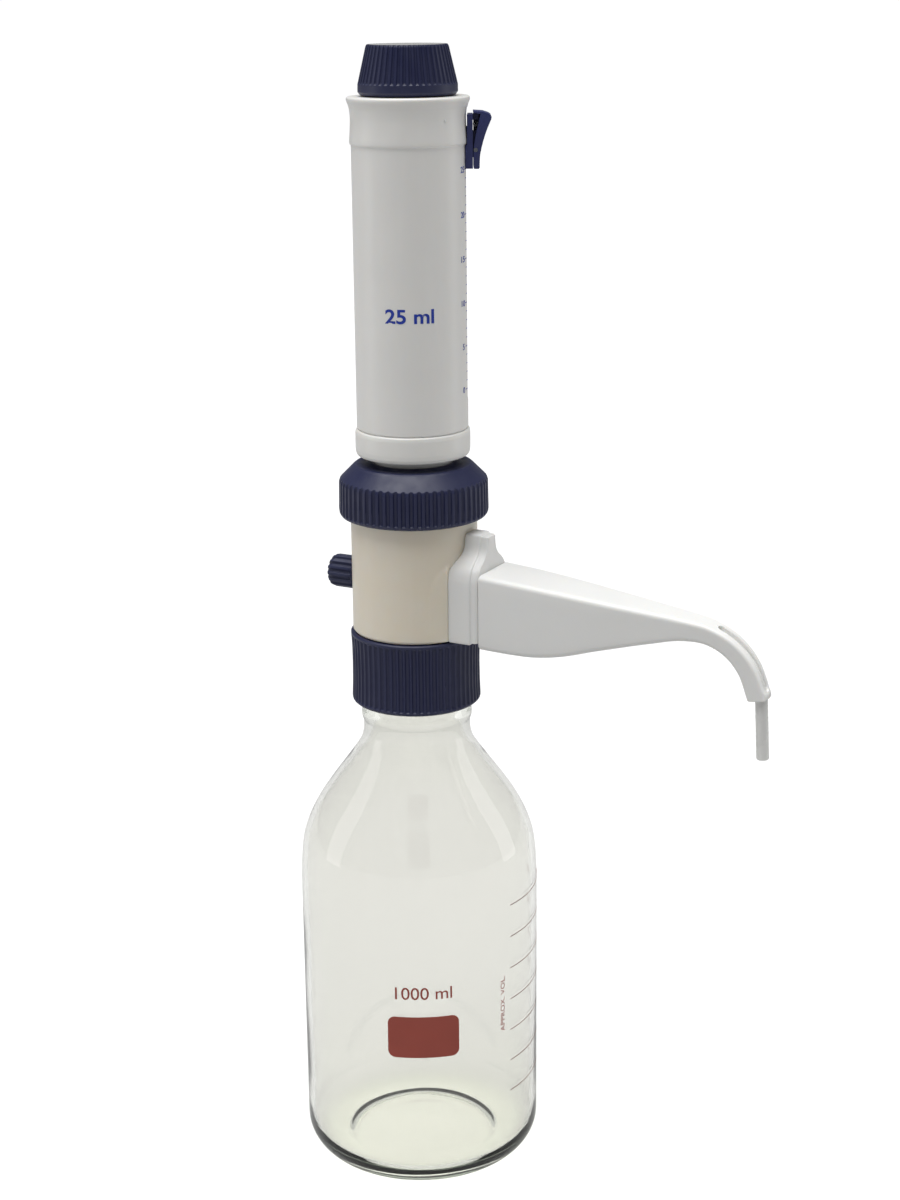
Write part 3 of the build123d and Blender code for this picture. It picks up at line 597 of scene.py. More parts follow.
def build_cap():
    prof = fillet(
        [
            (0, 470.0), (14.95, 470.0, 0.05), (14.95, 471.2, 0.15), (15.65, 471.2, 0.35), (16.1, 470.4, 0.3), (19.45, 456.3, 1.2),
            (19.5, 453.4, 0.8), (18.55, 452.2, 0.5), (17.0, 452.2, 0.1), (17.0, 453.4, 0.1), (13.4, 467.0, 0.1), (7.5, 467.0, 0.1),
            (7.5, 453.4, 0.1), (4.06, 453.4, 0.1), (4.06, 462.6, 0.1), (0, 462.6),
        ],
        closed=False,
    )
    prof = dense(prof, 0.55)

    def ribs(r, z, az):
        cut = step_up((z - 456.3) / 0.45) * ((r > 15.2) & (z > 454)) * step_up((r - 15.25) / 0.35)
        return r - 0.62 * cut * groove(az, 50, 0.66, 0.5), z

    v, f = lathe(prof, 800, ribs, loop=False)
    piece("cap_ribbed", v, f, "cap_body", M["navy"], ["top_cap"], sharp=50)
    prof = fillet([(0, 470.02), (14.85, 470.02, 0.05), (14.85, 471.0, 0.15), (14.6, 471.15, 0.12), (13.6, 471.0, 0.4), (0, 471.0)], closed=False)
    v, f = lathe(dense(prof, 1.2), 180, loop=False)
    piece("cap_disc", v, f, "cap_body", M["disc"], ["cap_insert"])


def build_vent_plug():
    # turned about X: profile as (radius, x)
    prof = fillet(
        [
            (0, -39.45), (3.0, -39.4, 1.0), (5.4, -39.0, 1.2), (6.55, -38.1, 0.9), (6.9, -36.6, 1.2), (6.9, -28.6, 1.0),
            (6.5, -27.3, 0.5), (5.2, -26.3, 0.3), (3.0, -26.3, 0.1), (3.0, -17.6, 0.2), (2.4, -17.0, 0.2), (0, -17.0),
        ],
        closed=False,
        segs=6,
    )
    prof = dense(prof, 0.35)

    def ribs(r, z, az):
        cut = (r > 3.2) * step_up((r - 4.4) / 1.4) * step_up((-27.0 - z) / 0.9)
        return r - 1.0 * cut * groove(az, 14, 0.62), z

    v, f = lathe(prof, 252, ribs, loop=False)
    v = np.stack([v[:, 2], v[:, 0], v[:, 1] + 256.8], 1)
    piece("vent_plug_fluted", v, f, "vent_plug_body", M["navy"], ["vent_plug"], sharp=50)


build_collar()
build_locking_ring()
build_cap()
build_vent_plug()


# ------------------------------------------------------------- valve block
def build_block():
    side = [(25.9, z) for z in np.arange(238.2, 284.6, 0.45)]
    low = fillet([(20.0, 229.2), (20.0, 236.6, 0.2), (25.2, 236.6, 0.45), (25.9, 237.5, 0.8), (25.9, 238.2)], closed=False)
    high = fillet([(25.9, 284.6), (25.9, 285.5, 0.5), (25.2, 286.0, 0.4), (24.0, 286.0, 0.2), (24.0, 292.4, 0.3), (23.4, 293.0, 0.3), (12, 293.0)], closed=False)
    prof = np.vstack([[[0, 229.2]], dense(low, 1.0)[:-1], side, dense(high, 1.0), [[0, 293.0]]])

    def boss(r, z, az):
        a = (az + math.pi) % (2 * math.pi) - math.pi
        aa = np.abs(a)
        line = 25.93 / np.cos(np.clip(aa - rad(48.4), -1.2, 1.2))
        front = 22.62 / np.cos(np.clip(aa, 0, 1.2))
        out = np.where(aa < rad(48.4), np.minimum(line, front), 25.9)
        out = np.maximum(out, 25.9)
        y = np.abs(np.sin(a)) * 25.9
        d = np.where(z < 257.6, 19.9 - y, 14.5 - np.hypot(np.maximum(y - 5.2, 0), z - 257.6))
        s = step_up(d / 2.0 + 0.1) * (np.cos(a) > 0)
        wall = (r > 25.0) & (z > 236.9) & (z < 285.6)
        return np.where(wall, r + (out - 25.9) * s + 0.28 * s, r), z

    v, f = lathe(prof, 480, boss, loop=False)
    piece("block_moulding", v, f, "block_body", M["cream"], ["valve_block"], sharp=40)


build_block()


# ------------------------------------------------------------------ sleeve
def build_sleeve():
    zs_slot = np.concatenate([[333.0, 333.4], np.arange(335, 430, 3.0)])
    outer = [np.array([22.1, 311.7]), np.array([22.1, 321.3])]
    outer += list(smooth([(22.2, 321.5), (22.48, 321.8), (22.55, 322.4)], 0.2))
    outer += [np.array([22.55, z]) for z in (324, 327, 330)] + [np.array([22.55, z]) for z in zs_slot]
    waist = smooth(
        [
            (22.55, 431.0), (22.55, 433.1), (22.64, 433.45), (22.92, 433.65), (23.08, 434.1), (23.12, 434.8), (23.08, 435.7),
            (22.96, 437.2), (22.82, 439.4), (22.7, 441.6), (22.66, 443.4), (22.78, 445.4), (23.12, 447.6), (23.6, 449.2),
            (23.98, 450.1), (24.08, 450.7), (23.95, 451.3), (23.55, 451.7), (23.0, 451.8),
        ],
        0.35,
    )
    waist = np.array([p for p in waist])
    k = int(np.argmin(np.abs(waist[:, 1] - 447.4) + 100 * (waist[:, 1] < 445)))
    waist[k, 1] = 447.4
    first = len(outer) - len(zs_slot)
    last = len(outer) + k
    outer += list(waist)
    top = [np.array([r, 451.8]) for r in (21.5, 19.5, 15, 10, 6)] + list(fillet([(6, 451.8), (4.1, 451.8, 0.2), (4.1, 448.4, 0.2), (6, 448.4)], closed=False)[1:])
    top += [np.array([r, 448.4]) for r in (12, 18)] + [np.array([20.2, 448.4]), np.array([20.6, 448.0])]
    inner_z = [outer[i][1] for i in range(last, first - 1, -1)]
    inner = [np.array([20.6, z]) for z in inner_z]
    tail = [np.array([20.6, z]) for z in (330, 320, 311.7)]
    prof = np.array(outer + top + inner + tail)
    i0 = len(outer) + len(top)  # inner row at the slot's upper end
    i1 = i0 + len(inner) - 1
    half = 2.9
    edge = math.degrees(math.asin(half / 22.55))
    offs = [-edge * 0.5, 0.0, edge * 0.5]
    side = [edge, edge + 0.7, edge + 1.5, edge + 2.6]
    rest = np.arange(edge + 4.0, 360 - edge - 3.9, 1.5)
    cols = sorted([-s for s in side] + offs + side) + list(rest)
    n_c = len(cols)
    jb0, jb1 = cols.index(-edge), cols.index(edge)
    a = np.radians(np.array(cols) + 28.0)
    ca, sa = math.cos(rad(28)), math.sin(rad(28))
    n_r = len(prof)
    v = np.zeros((n_r, n_c, 3))
    v[:, :, 0] = prof[:, :1] * np.cos(a)
    v[:, :, 1] = prof[:, :1] * np.sin(a)
    v[:, :, 2] = prof[:, 1:2]
    for i in range(n_r):
        r = prof[i, 0]
        if r < 20:
            continue
        cut = first <= i <= last or i0 <= i <= i1
        for j, s in ((jb0, -1), (jb1, 1)):
            rr = r - 0.28 if first <= i <= last else r
            x, y = math.sqrt(rr * rr - half * half), s * half
            if cut or True:
                v[i, j] = (x * ca - y * sa, x * sa + y * ca, prof[i, 1])
        if not (first <= i <= last):
            for j, s in ((jb0, -1), (jb1, 1)):
                x, y = math.sqrt(r * r - half * half), s * half
                v[i, j] = (x * ca - y * sa, x * sa + y * ca, prof[i, 1])
    faces = []
    for i in range(n_r):
        i2 = (i + 1) % n_r
        in_slot = (first <= i and i2 <= last) or (i0 <= i and i2 <= i1 and i2 > i)
        for j in range(n_c):
            j2 = (j + 1) % n_c
            if in_slot and jb0 <= j < jb1:
                continue
            faces.append([i * n_c + j, i * n_c + j2, i2 * n_c + j2, i2 * n_c + j])
    for q in range(last - first):
        o1, o2 = first + q, first + q + 1
        n1, n2 = i1 - q, i1 - q - 1
        for j in (jb0, jb1):
            faces.append([o1 * n_c + j, o2 * n_c + j, n2 * n_c + j, n1 * n_c + j])
    for o, n in ((first, i1), (last, i0)):
        for j in range(jb0, jb1):
            faces.append([o * n_c + j, o * n_c + j + 1, n * n_c + j + 1, n * n_c + j])
    piece("sleeve_shell", v.reshape(-1, 3), faces, "piston_body", M["sleeve"], ["sleeve"], sharp=35)
    # small gate mark on the waist
    dome = [(0.0, 0.42), (0.25, 0.38), (0.42, 0.2), (0.52, 0.03), (0.6, -0.05), (0.0, -0.05)]
    dv, df = lathe(np.array(dome), 28, loop=False)
    dv[:, 1] *= 1.25
    g = rad(-23.0)
    dv = place(dv, (22.68 * math.cos(g), 22.68 * math.sin(g), 443.2), (-math.sin(g), math.cos(g), 0), (0, 0, 1), (math.cos(g), math.sin(g), 0))
    piece("sleeve_gate_mark", dv, df, "piston_body", M["sleeve"], sharp=60)
    ring = fillet(
        [
            (20.9, 310.4, 0.1), (22.0, 310.4, 0.2), (22.7, 310.8, 0.5), (23.15, 311.9, 0.7), (23.3, 313.6, 1.0), (23.3, 319.4, 1.0),
            (23.1, 320.7, 0.6), (22.6, 321.2, 0.35), (22.15, 321.2, 0.05), (22.15, 311.65, 0.05), (20.7, 311.65, 0.05), (20.7, 310.6, 0.1),
        ]
    )
    v, f = lathe(dense(ring, 0.9, closed=True), 240)
    piece("sleeve_end_ring_shell", v, f, "piston_body", M["end_ring"], ["sleeve_end_ring"], sharp=40)


build_sleeve()


# ------------------------------------------------------------------ nozzle
def offset_outline(points, inset):
    """A closed outline moved inwards."""
    p = np.asarray(points, float)
    t = np.roll(p, -1, axis=0) - np.roll(p, 1, axis=0)
    t /= np.linalg.norm(t, axis=1)[:, None]
    n = np.stack([-t[:, 1], t[:, 0]], 1)
    area = np.sum(p[:, 0] * np.roll(p[:, 1], -1) - np.roll(p[:, 0], -1) * p[:, 1])
    return p + n * (inset if area > 0 else -inset)


def build_flange():
    curve = smooth([(4.75, 277.6), (5.25, 275.0), (6.9, 272.5), (9.8, 270.3), (12.6, 267.3), (13.95, 263.6), (14.2, 259.8)], 0.5)
    half = [(0.0, 280.7)] + [tuple(q) for q in fillet([(0, 280.7), (4.3, 280.7, 1.3), (4.75, 277.6)], closed=False, segs=8)[1:-1]]
    half += [tuple(q) for q in curve]
    half += [tuple(q) for q in fillet([(14.2, 259.8), (14.2, 236.8, 0.9), (0, 236.8)], closed=False, segs=6)[1:]]
    outline = [(-y, z) for y, z in reversed(half[1:-1])]
    outline = np.array(half + outline)
    outline = dense(outline, 0.8, closed=True)
    n = len(outline)
    steps = [
        (None, 0.55), (0.12, 0.2), (0.45, 0.03), (0.9, 0.0),
        (31.6, 0.0), (32.2, 0.06), (32.45, 0.2), (32.6, 0.45), (32.68, 0.62), (32.85, 0.70), (33.2, 0.74), (34.3, 0.8),
        (34.75, 0.86), (34.95, 0.98), (35.08, 1.12), (35.3, 1.2), (35.5, 1.32), (35.6, 1.6),
    ]
    verts = []
    for x, inset in steps:
        ring = offset_outline(outline, inset)
        for y, z in ring:
            back = math.sqrt(max(26.1**2 - min(abs(y), 14.2) ** 2, 0)) if abs(y) < 12.85 else 22.72
            back = max(back, 22.72)
            xx = back if x is None else (back + x if x < 5 else x)
            verts.append((xx, y, z))
    faces = []
    for i in range(len(steps) - 1):
        for j in range(n):
            j2 = (j + 1) % n
            faces.append([i * n + j, i * n + j2, (i + 1) * n + j2, (i + 1) * n + j])
    last = (len(steps) - 1) * n
    # front face: rows towards the middle line, so that it stays flat and tidy
    centre = len(verts)
    verts.append((35.6, 0.0, 252.2))
    for j in range(n):
        faces.append([last + j, last + (j + 1) % n, centre])
    backc = len(verts)
    verts.append((26.1, 0.0, 252.2))
    for j in range(n):
        faces.append([j, (j + 1) % n, backc])
    piece("flange_saddle", verts, faces, "block_body", M["white"], ["nozzle_flange"], sharp=38)


ARM = [
    (35.9, 250.6, 0, 31.0, 13.4, 2.3),
    (48.0, 249.9, 0, 30.6, 13.2, 2.3),
    (60.0, 249.4, 0, 29.4, 12.7, 2.3),
    (72.0, 249.7, 0, 26.4, 11.8, 2.3),
    (84.0, 250.7, 0, 21.8, 10.7, 2.3),
    (96.0, 251.6, 0, 17.3, 9.5, 2.2),
    (108.0, 252.4, 0, 13.0, 8.2, 2.1),
    (119.5, 252.9, 3, 9.2, 7.0, 1.9),
    (130.2, 251.8, 15, 7.5, 5.9, 1.6),
    (139.4, 247.4, 36, 7.0, 5.3, 1.3),
    (146.3, 239.6, 58, 7.0, 4.9, 1.2),
    (150.7, 228.4, 82, 7.3, 4.6, 1.2),
]


def build_arm():
    sec = np.array(ARM, float)
    m = len(sec)
    fine = 26

    def at(u):
        # smooth through the sections by number
        i = min(int(u), m - 2)
        t = u - i
        p0, p1, p2, p3 = sec[max(i - 1, 0)], sec[i], sec[i + 1], sec[min(i + 2, m - 1)]
        return 0.5 * (2 * p1 + (p2 - p0) * t + (2 * p0 - 5 * p1 + 4 * p2 - p3) * t**2 + (3 * p1 - p0 - 3 * p2 + p3) * t**3)

    us = list(np.linspace(0, 7, 7 * 9 + 1)) + list(np.linspace(7, m - 1, 4 * fine * 2 + 1))[1:]
    arc, prev, rows = 0.0, None, []
    for u in us:
        s = at(u)
        c = np.array([s[0], s[1]])
        arc += 0 if prev is None else float(np.linalg.norm(c - prev))
        prev = c
        rows.append((s, arc, math.degrees(math.atan2(s[0] - 123.76, s[1] - 224.2))))
    begin = min(r[1] for r in rows if r[2] >= 17.0)
    end = max(r[1] for r in rows if r[2] <= 76.5)
    total = rows[-1][1]
    # rounded start and end
    plan = [(rows[0][0], rows[0][1], rows[0][2], 0.55, 0.0), (rows[0][0], rows[0][1], rows[0][2], 0.2, 0.12), (rows[0][0], rows[0][1], rows[0][2], 0.0, 0.5)]
    plan += [(r[0], r[1], r[2], 0.0, 0.0) for r in rows[1:]]
    plan += [(rows[-1][0], rows[-1][1], rows[-1][2], 0.15, 0.35), (rows[-1][0], rows[-1][1], rows[-1][2], 0.5, 0.5)]
    verts, n = [], None
    lips = (0.0, 0.35, 0.7, 0.92, 0.985, 1.0, 1.0)
    for s, arc, theta, inset, ahead in plan:
        x, z, t, h, w, r = s
        h, w, r = h - 2 * inset, w - inset, max(r - inset * 0.6, 0.5)
        inside = begin <= arc <= end
        run = min(arc - begin, end - arc)
        wide = 1.85 * math.sqrt(max(0.0, 1 - (1 - min(1.0, max(0.0, run) / 1.85)) ** 2)) if inside else 0.0
        deep = 2.6 if inside and run > 0.04 else 0.0
        wide = max(wide, 0.25)
        tip = math.exp(-(((total - arc) - 1.5) / 1.5) ** 2) * 0.85 if theta > 60 else 0.0
        lip = 0.16 * float(step_up(np.array((arc - begin + 2.0) / 3))) * float(step_up(np.array((theta - 12) / 8)))
        top = []
        for f in lips[:6]:
            y = wide * f
            dip = deep * (1.0 if f <= 0.92 else (0.55 if f < 1.0 else 0.14))
            top.append((y, h / 2 - dip + (tip if deep == 0 else 0) * math.exp(-((y / 3.2) ** 2)) + (lip if f == 1.0 else 0)))
        for dy, lift in ((0.28, 1.0), (0.7, 0.8), (1.1, 0.25)):
            y = min(wide + dy, w - r)
            top.append((y, h / 2 + lip * lift + tip * math.exp(-((y / 3.2) ** 2))))
        span = (w - r) - min(wide + 1.1, w - r)
        for k in (0.35, 0.7, 1.0):
            y = min(wide + 1.1, w - r) + span * k
            top.append((y, h / 2 + tip * math.exp(-((y / 3.2) ** 2))))
        arcp = []
        for k in range(1, 9):
            a = rad(90 - 90 * k / 8)
            arcp.append((w - r + r * math.cos(a), h / 2 - r + r * math.sin(a)))
        sidep = [(w, h / 2 - r - (h - 2 * r) * k / 6) for k in range(1, 7)]
        low = []
        for k in range(1, 9):
            a = rad(-90 * k / 8)
            low.append((w - r + r * math.cos(a), -h / 2 + r + r * math.sin(a)))
        bottom = [((w - r) * (1 - k / 6), -h / 2) for k in range(1, 7)]
        half = top + arcp + sidep + low + bottom
        ring = half + [(-y, q) for y, q in reversed(half[1:-1])]
        n = len(ring)
        ct, st = math.cos(rad(t)), math.sin(rad(t))
        ox, oz = x + ahead * ct, z - ahead * st
        for y, q in ring:
            verts.append((ox + q * st, y, oz + q * ct))
    faces = []
    rows_n = len(plan)
    for i in range(rows_n - 1):
        for j in range(n):
            j2 = (j + 1) % n
            faces.append([i * n + j, i * n + j2, (i + 1) * n + j2, (i + 1) * n + j])
    for base in (0, (rows_n - 1) * n):
        c = len(verts)
        verts.append(tuple(np.mean(np.array(verts[base : base + n]), axis=0)))
        for j in range(n):
            faces.append([base + j, base + (j + 1) % n, c])
    piece("arm_shell", verts, faces, "block_body", M["white"], ["nozzle_arm"], sharp=34)


def build_tube():
    pts = [np.array([x, 0.0, 252.2]) for x in np.linspace(34.7, 123.76, 40)]
    for k in range(1, 61):
        a = rad(87.0 * k / 60)
        pts.append(np.array([123.76 + 28 * math.sin(a), 0.0, 224.2 + 28 * math.cos(a)]))
    d = np.array([math.cos(rad(87)), 0, -math.sin(rad(87))])
    end = pts[-1]
    pts += [end + d * s for s in np.linspace(1, 21.4, 20)]
    pts = np.array(pts)
    tang = np.gradient(pts, axis=0)
    tang /= np.linalg.norm(tang, axis=1)[:, None]
    side = np.array([0, 1.0, 0])
    rows = []

    def ring(p, t, r):
        up = np.cross(side, t)
        a = np.arange(40) * 2 * math.pi / 40
        return p + np.cos(a)[:, None] * side * r + np.sin(a)[:, None] * up * r

    for i in range(len(pts)):
        rows.append(ring(pts[i], tang[i], 2.5))
    for s, r in ((0.35, 2.47), (0.6, 2.36), (0.76, 2.15), (0.8, 1.95), (0.76, 1.72), (0.6, 1.56), (0.3, 1.5)):
        rows.append(ring(pts[-1] + d * s, d, r))
    for i in range(len(pts) - 1, -1, -1):
        rows.append(ring(pts[i], tang[i], 1.5))
    v = np.array(rows).reshape(-1, 3)
    f, n = [], 40
    for i in range(len(rows)):
        i2 = (i + 1) % len(rows)
        for j in range(n):
            j2 = (j + 1) % n
            f.append([i * n + j, i * n + j2, i2 * n + j2, i2 * n + j])
    piece("tube_milky", v, f, "block_body", M["tube"], ["delivery_tube"], sharp=50)


build_flange()
build_arm()
build_tube()


# ------------------------------------------------------------ volume slider
CA, SA = math.cos(rad(28)), math.sin(rad(28))
RAD_DIR, SIDE_DIR = (CA, SA, 0.0), (-SA, CA, 0.0)


def prism(name, outline, w0, w1):
    """A plate in the slider's own plane: outline in (radius, z), from w0 to w1 sideways."""
    o = np.asarray(outline, float)
    n = len(o)
    v = [(r, w0, z) for r, z in o] + [(r, w1, z) for r, z in o]
    v = place(v, (0, 0, 0), RAD_DIR, SIDE_DIR, (0, 0, 1))
    f = [list(range(n)), list(range(n, 2 * n))[::-1]]
    f += [[i, i + n, (i + 1) % n + n, (i + 1) % n] for i in range(n)]
    me = bpy.data.meshes.new(name)
    me.from_pydata((v * MM).tolist(), [], f)
    bm = bmesh.new()
    bm.from_mesh(me)
    bmesh.ops.recalc_face_normals(bm, faces=bm.faces)
    bm.to_mesh(me)
    bm.free()
    ob = bpy.data.objects.new(name, me)
    scene.collection.objects.link(ob)
    return ob


def carve(ob, cutters, bevel, body, material, replaces, joins=(), angle=28.0):
    """Joins and cuts plates, rounds their edges, and keeps the result as one mesh."""
    for c, mode in [(j, "UNION") for j in joins] + [(c, "DIFFERENCE") for c in cutters]:
        b = ob.modifiers.new("cut", "BOOLEAN")
        b.operation, b.solver, b.object = mode, "EXACT", c
    bv = ob.modifiers.new("edge", "BEVEL")
    bv.width, bv.segments, bv.limit_method, bv.angle_limit = bevel * MM, 3, "ANGLE", rad(angle)
    bpy.context.view_layer.update()
    me = bpy.data.meshes.new_from_object(ob.evaluated_get(bpy.context.evaluated_depsgraph_get()))
    ob.modifiers.clear()
    ob.data = me
    for c in list(cutters) + list(joins):
        bpy.data.objects.remove(c)
    me.materials.clear()
    me.materials.append(material)
    me.shade_smooth()
    me.set_sharp_from_angle(angle=rad(40))
    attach(ob, body)
    if replaces:
        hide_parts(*replaces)
    return ob


def pin_hole(r=0.86, half=7.0):
    a = np.arange(28) * 2 * math.pi / 28
    return prism("hole", [(26.1 + r * math.cos(t), 431.3 + r * math.sin(t)) for t in a], -half, half)


def build_slider():
    back = smooth([(27.62, 424.6), (27.66, 427.0), (27.9, 429.8), (28.8, 433.8), (30.2, 438.2), (32.2, 443.0)], 0.7)
    outline = [(25.25, 424.6), (25.5, 424.1), (27.2, 424.1)]
    outline += [tuple(q) for q in back]
    outline += [(32.34, 443.7), (32.0, 444.5), (31.0, 445.1), (28.9, 445.75), (25.25, 446.0), (25.25, 445.3), (28.15, 445.0)]
    outline += [tuple(q) for q in smooth([(27.9, 444.2), (27.1, 441.0), (26.25, 437.4), (25.55, 433.6), (25.25, 431.0)], 0.8)]
    lever = prism("slider_lever_shell", outline, -6.0, 6.0)
    # the wall on the far side closes the hollow behind the spring
    wall = prism("wall", [(25.32, 430.6), (25.32, 445.5), (29.2, 445.5), (29.2, 438.0), (27.4, 430.6)], 5.0, 5.97)
    slot = prism("slot", [(24.8, 427.8), (27.35, 427.8), (27.35, 434.3), (29.5, 444.1), (24.8, 444.1)], -1.9, 1.9)
    finger = prism("finger", [(28.9, 425), (29.0, 429), (29.9, 433), (31.2, 437), (33.4, 442), (36, 442), (36, 425)], -3.6, 3.6)
    # thumb face: a shallow hollow with cross ribs
    carve(lever, [slot, pin_hole(), finger], 0.32, "lever_body", M["navy_slider"], ["slider_lever"], joins=[wall])
    ribs_v, ribs_f = [], []
    for k in range(5):
        z = 431.0 + 2.3 * k
        x = float(np.interp(z, [425, 429, 433, 437, 442], [28.9, 29.0, 29.9, 31.2, 33.4]))
        x = float(np.interp(z, back[:, 1], back[:, 0]))
        prof = [(-0.45, -0.5), (-0.45, 0.1), (-0.3, 0.24), (0.0, 0.3), (0.3, 0.24), (0.45, 0.1), (0.45, -0.5)]
        base = len(ribs_v)
        slope = (float(np.interp(z + 0.5, back[:, 1], back[:, 0])) - float(np.interp(z - 0.5, back[:, 1], back[:, 0])))
        for w in (-3.4, -3.2, 3.2, 3.4):
            shrink = 0.6 if abs(w) > 3.3 else 1.0
            for dz, dx in prof:
                ribs_v.append((x + dx * shrink - 0.14 + slope * dz, w, z + dz * shrink))
        m = len(prof)
        for i in range(3):
            for j in range(m):
                ribs_f.append([base + i * m + j, base + i * m + (j + 1) % m, base + (i + 1) * m + (j + 1) % m, base + (i + 1) * m + j])
        ribs_f.append([base + j for j in range(m)])
        ribs_f.append([base + 3 * m + j for j in range(m)][::-1])
    ribs_v = place(ribs_v, (0, 0, 0), RAD_DIR, SIDE_DIR, (0, 0, 1))
    piece("slider_thumb_ribs", ribs_v, ribs_f, "lever_body", M["navy_slider"], sharp=50)

    # the carriage hugs the sleeve below its bead and stands clear of the bead above
    ys = np.linspace(-6.0, 6.0, 25)
    levels = [(424.2, 22.86, 6.0), (433.05, 22.86, 6.0), (433.3, 23.5, 6.0), (444.85, 23.5, 6.0)]
    v = []
    for z, r, _ in levels:
        v += [(math.sqrt(r * r - y * y), y, z) for y in ys] + [(25.0, 6.0, z), (25.0, -6.0, z)]
    n = len(ys) + 2
    v = place(v, (0, 0, 0), RAD_DIR, SIDE_DIR, (0, 0, 1))
    f = [list(range(n)), list(range(3 * n, 4 * n))[::-1]]
    for k in range(3):
        f += [[k * n + i, (k + 1) * n + i, (k + 1) * n + (i + 1) % n, k * n + (i + 1) % n] for i in range(n)]
    me = bpy.data.meshes.new("slider_carriage_shell")
    me.from_pydata((np.array(v) * MM).tolist(), [], f)
    bm = bmesh.new()
    bm.from_mesh(me)
    bmesh.ops.recalc_face_normals(bm, faces=bm.faces)
    bm.to_mesh(me)
    bm.free()
    carriage = bpy.data.objects.new("slider_carriage_shell", me)
    scene.collection.objects.link(carriage)
    web = prism("web", [(24.6, 428.2), (27.0, 428.2), (27.0, 431.2), (26.55, 434.4), (26.85, 438.4), (24.6, 438.4)], -1.5, 1.5)
    web2 = prism("web2", [(24.6, 442.5), (27.3, 442.5), (27.35, 444.8), (24.6, 444.8)], -1.5, 1.5)
    tongue = prism("tongue", [(17.8, 430.0), (24.4, 430.0), (24.4, 440.0), (17.8, 440.0)], -2.5, 2.5)
    foot = prism("foot", [(17.8, 430.0), (19.4, 430.0), (19.4, 440.0), (17.8, 440.0)], -4.8, 4.8)
    relief = prism("relief", [(22.0, 431.2), (26.0, 431.2), (26.0, 446.0), (22.0, 446.0)], 4.7, 6.5)
    carve(
        carriage, [pin_hole(0.82), relief], 0.15, "slider_body", M["navy_slider"], ["slider_carriage"],
        joins=[web, web2, tongue, foot],
    )


build_slider()

# --------------------------------------------- CAD pieces that stay as they are
KEEP = {
    "collar_retainer": "fluoro", "bottle_gasket": "rubber", "inlet_valve_housing": "fluoro", "inlet_valve_seat": "ceramic",
    "inlet_ball": "ruby", "inlet_ball_stop": "fluoro", "inlet_o_ring": "rubber", "outlet_valve_seat": "ceramic",
    "outlet_valve_housing": "fluoro", "outlet_ball": "ruby", "outlet_spring": "steel", "outlet_o_ring": "rubber",
    "cylinder_seal": "fluoro", "glass_cylinder": "bore_glass", "cylinder_casing": "casing", "rod_guide": "fluoro",
    "piston_head": "fluoro", "piston_seals": "rubber", "piston_rod": "rod", "rod_nut": "casing", "slider_pin": "pin",
    "slider_spring": "steel", "vent_o_ring": "rubber",
}
for node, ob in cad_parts.items():
    if node in KEEP:
        ob.data.materials.clear()
        ob.data.materials.append(M[KEEP[node]])


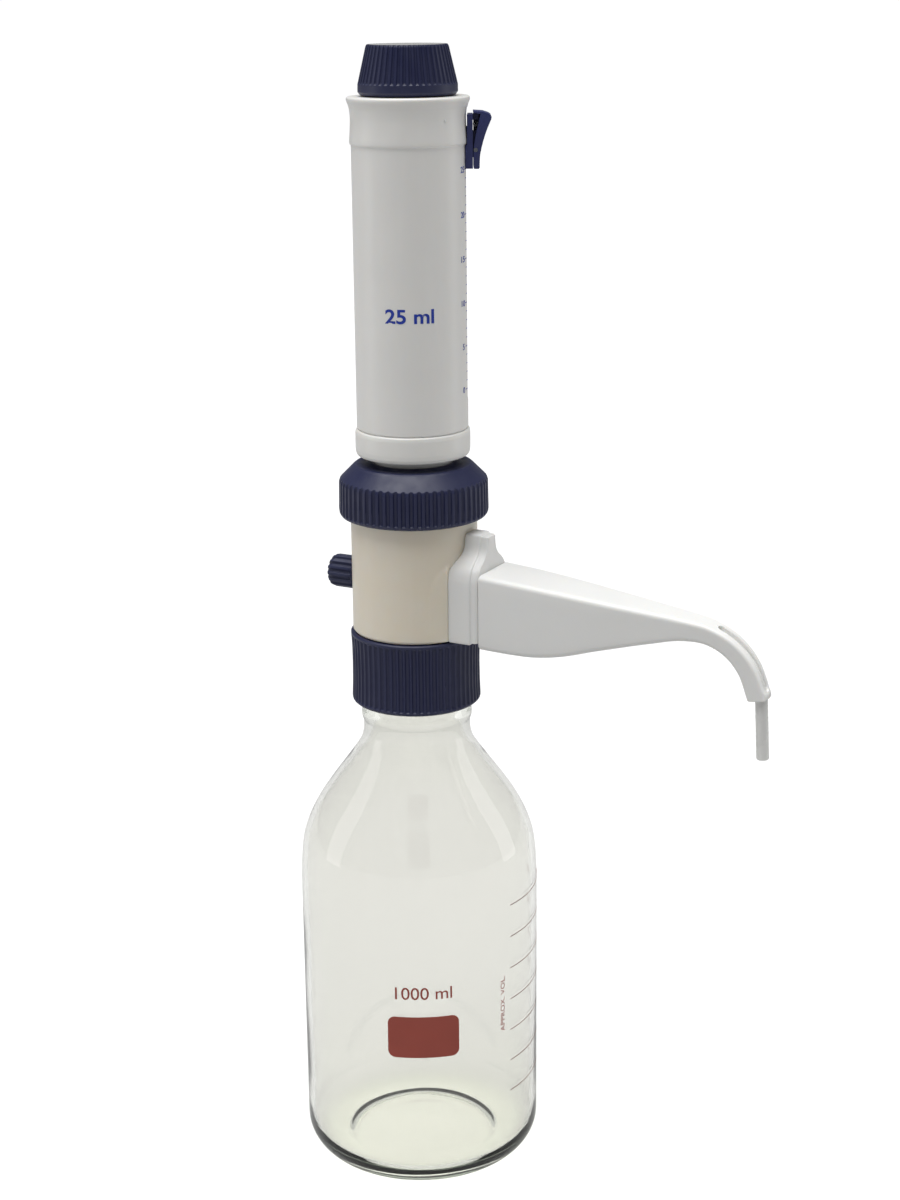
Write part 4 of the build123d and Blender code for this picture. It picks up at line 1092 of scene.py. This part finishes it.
# ------------------------------------------------------------ floor, light
def build_stage():
    me = bpy.data.meshes.new("floor")
    n, size = 24, 5.0
    vs, fs = [], []
    for i in range(n + 1):
        for j in range(n + 1):
            vs.append((-size + 2 * size * i / n, -size + 2 * size * j / n, -0.0004))
    for i in range(n):
        for j in range(n):
            a = i * (n + 1) + j
            fs.append((a, a + n + 1, a + n + 2, a + 1))
    me.from_pydata(vs, [], fs)
    ob = bpy.data.objects.new("floor", me)
    scene.collection.objects.link(ob)
    mat = bpy.data.materials.new("floor_white")
    mat.use_nodes = True
    nt = mat.node_tree
    p = nt.nodes["Principled BSDF"]
    coord = nt.nodes.new("ShaderNodeTexCoord").outputs["Object"]
    pale = mix_colour(nt, noise(nt, coord, 3.0), (0.84, 0.84, 0.84, 1), (0.86, 0.86, 0.86, 1))
    # the floor throws less light up at the object than it shows, as a table edged with dark cards does
    path = nt.nodes.new("ShaderNodeLightPath")
    seen = nt.nodes.new("ShaderNodeMath")
    seen.operation = "MAXIMUM"
    nt.links.new(path.outputs["Is Camera Ray"], seen.inputs[0])
    nt.links.new(path.outputs["Is Transmission Ray"], seen.inputs[1])
    nt.links.new(mix_colour(nt, seen.outputs[0], (0.44, 0.44, 0.44, 1.0), pale), p.inputs["Base Color"])
    p.inputs["Roughness"].default_value = 0.7
    p.inputs["Specular IOR Level"].default_value = 0.2
    me.materials.append(mat)


def area(name, place_at, look_at, size_x, size_y, power, colour=(1, 1, 1)):
    light = bpy.data.lights.new(name, "AREA")
    light.shape, light.size, light.size_y, light.energy, light.color = "RECTANGLE", size_x, size_y, power, colour
    ob = bpy.data.objects.new(name, light)
    scene.collection.objects.link(ob)
    ob.location = place_at
    ob.rotation_mode = "QUATERNION"
    ob.rotation_quaternion = (Vector(look_at) - Vector(place_at)).to_track_quat("-Z", "Y")
    ob.visible_camera = False
    ob.visible_transmission = False
    return ob


def polar(az, dist, z):
    return (dist * math.cos(rad(az)), dist * math.sin(rad(az)), z)


build_stage()
world = bpy.data.worlds.new("studio")
scene.world = world
world.use_nodes = True
wt = world.node_tree
bg = wt.nodes["Background"]
bg.inputs["Color"].default_value = (1.0, 1.0, 1.0, 1.0)
lp = wt.nodes.new("ShaderNodeLightPath")
mx = wt.nodes.new("ShaderNodeMath")
mx.operation = "MAXIMUM"
wt.links.new(lp.outputs["Is Camera Ray"], mx.inputs[0])
wt.links.new(lp.outputs["Is Transmission Ray"], mx.inputs[1])
rg = wt.nodes.new("ShaderNodeMapRange")
rg.inputs["To Min"].default_value = 0.20
rg.inputs["To Max"].default_value = 1.02
wt.links.new(mx.outputs[0], rg.inputs["Value"])
wt.links.new(rg.outputs["Result"], bg.inputs["Strength"])

# camera stands towards azimuth -61; left of it is about -151, right about +29
sun = bpy.data.lights.new("top_soft", "SUN")
sun.energy, sun.angle = 3.7, rad(62)
sun_ob = bpy.data.objects.new("top_soft", sun)
scene.collection.objects.link(sun_ob)
sun_ob.rotation_euler = (rad(6), rad(-4), 0)
sun_ob.visible_camera = False
sun_ob.visible_transmission = False
area("left_box", polar(-151, 1.05, 0.55), (0, 0, 0.25), 0.4, 1.2, 1.5)
area("right_box", polar(35, 1.05, 0.55), (0, 0, 0.25), 0.4, 1.2, 1.8)
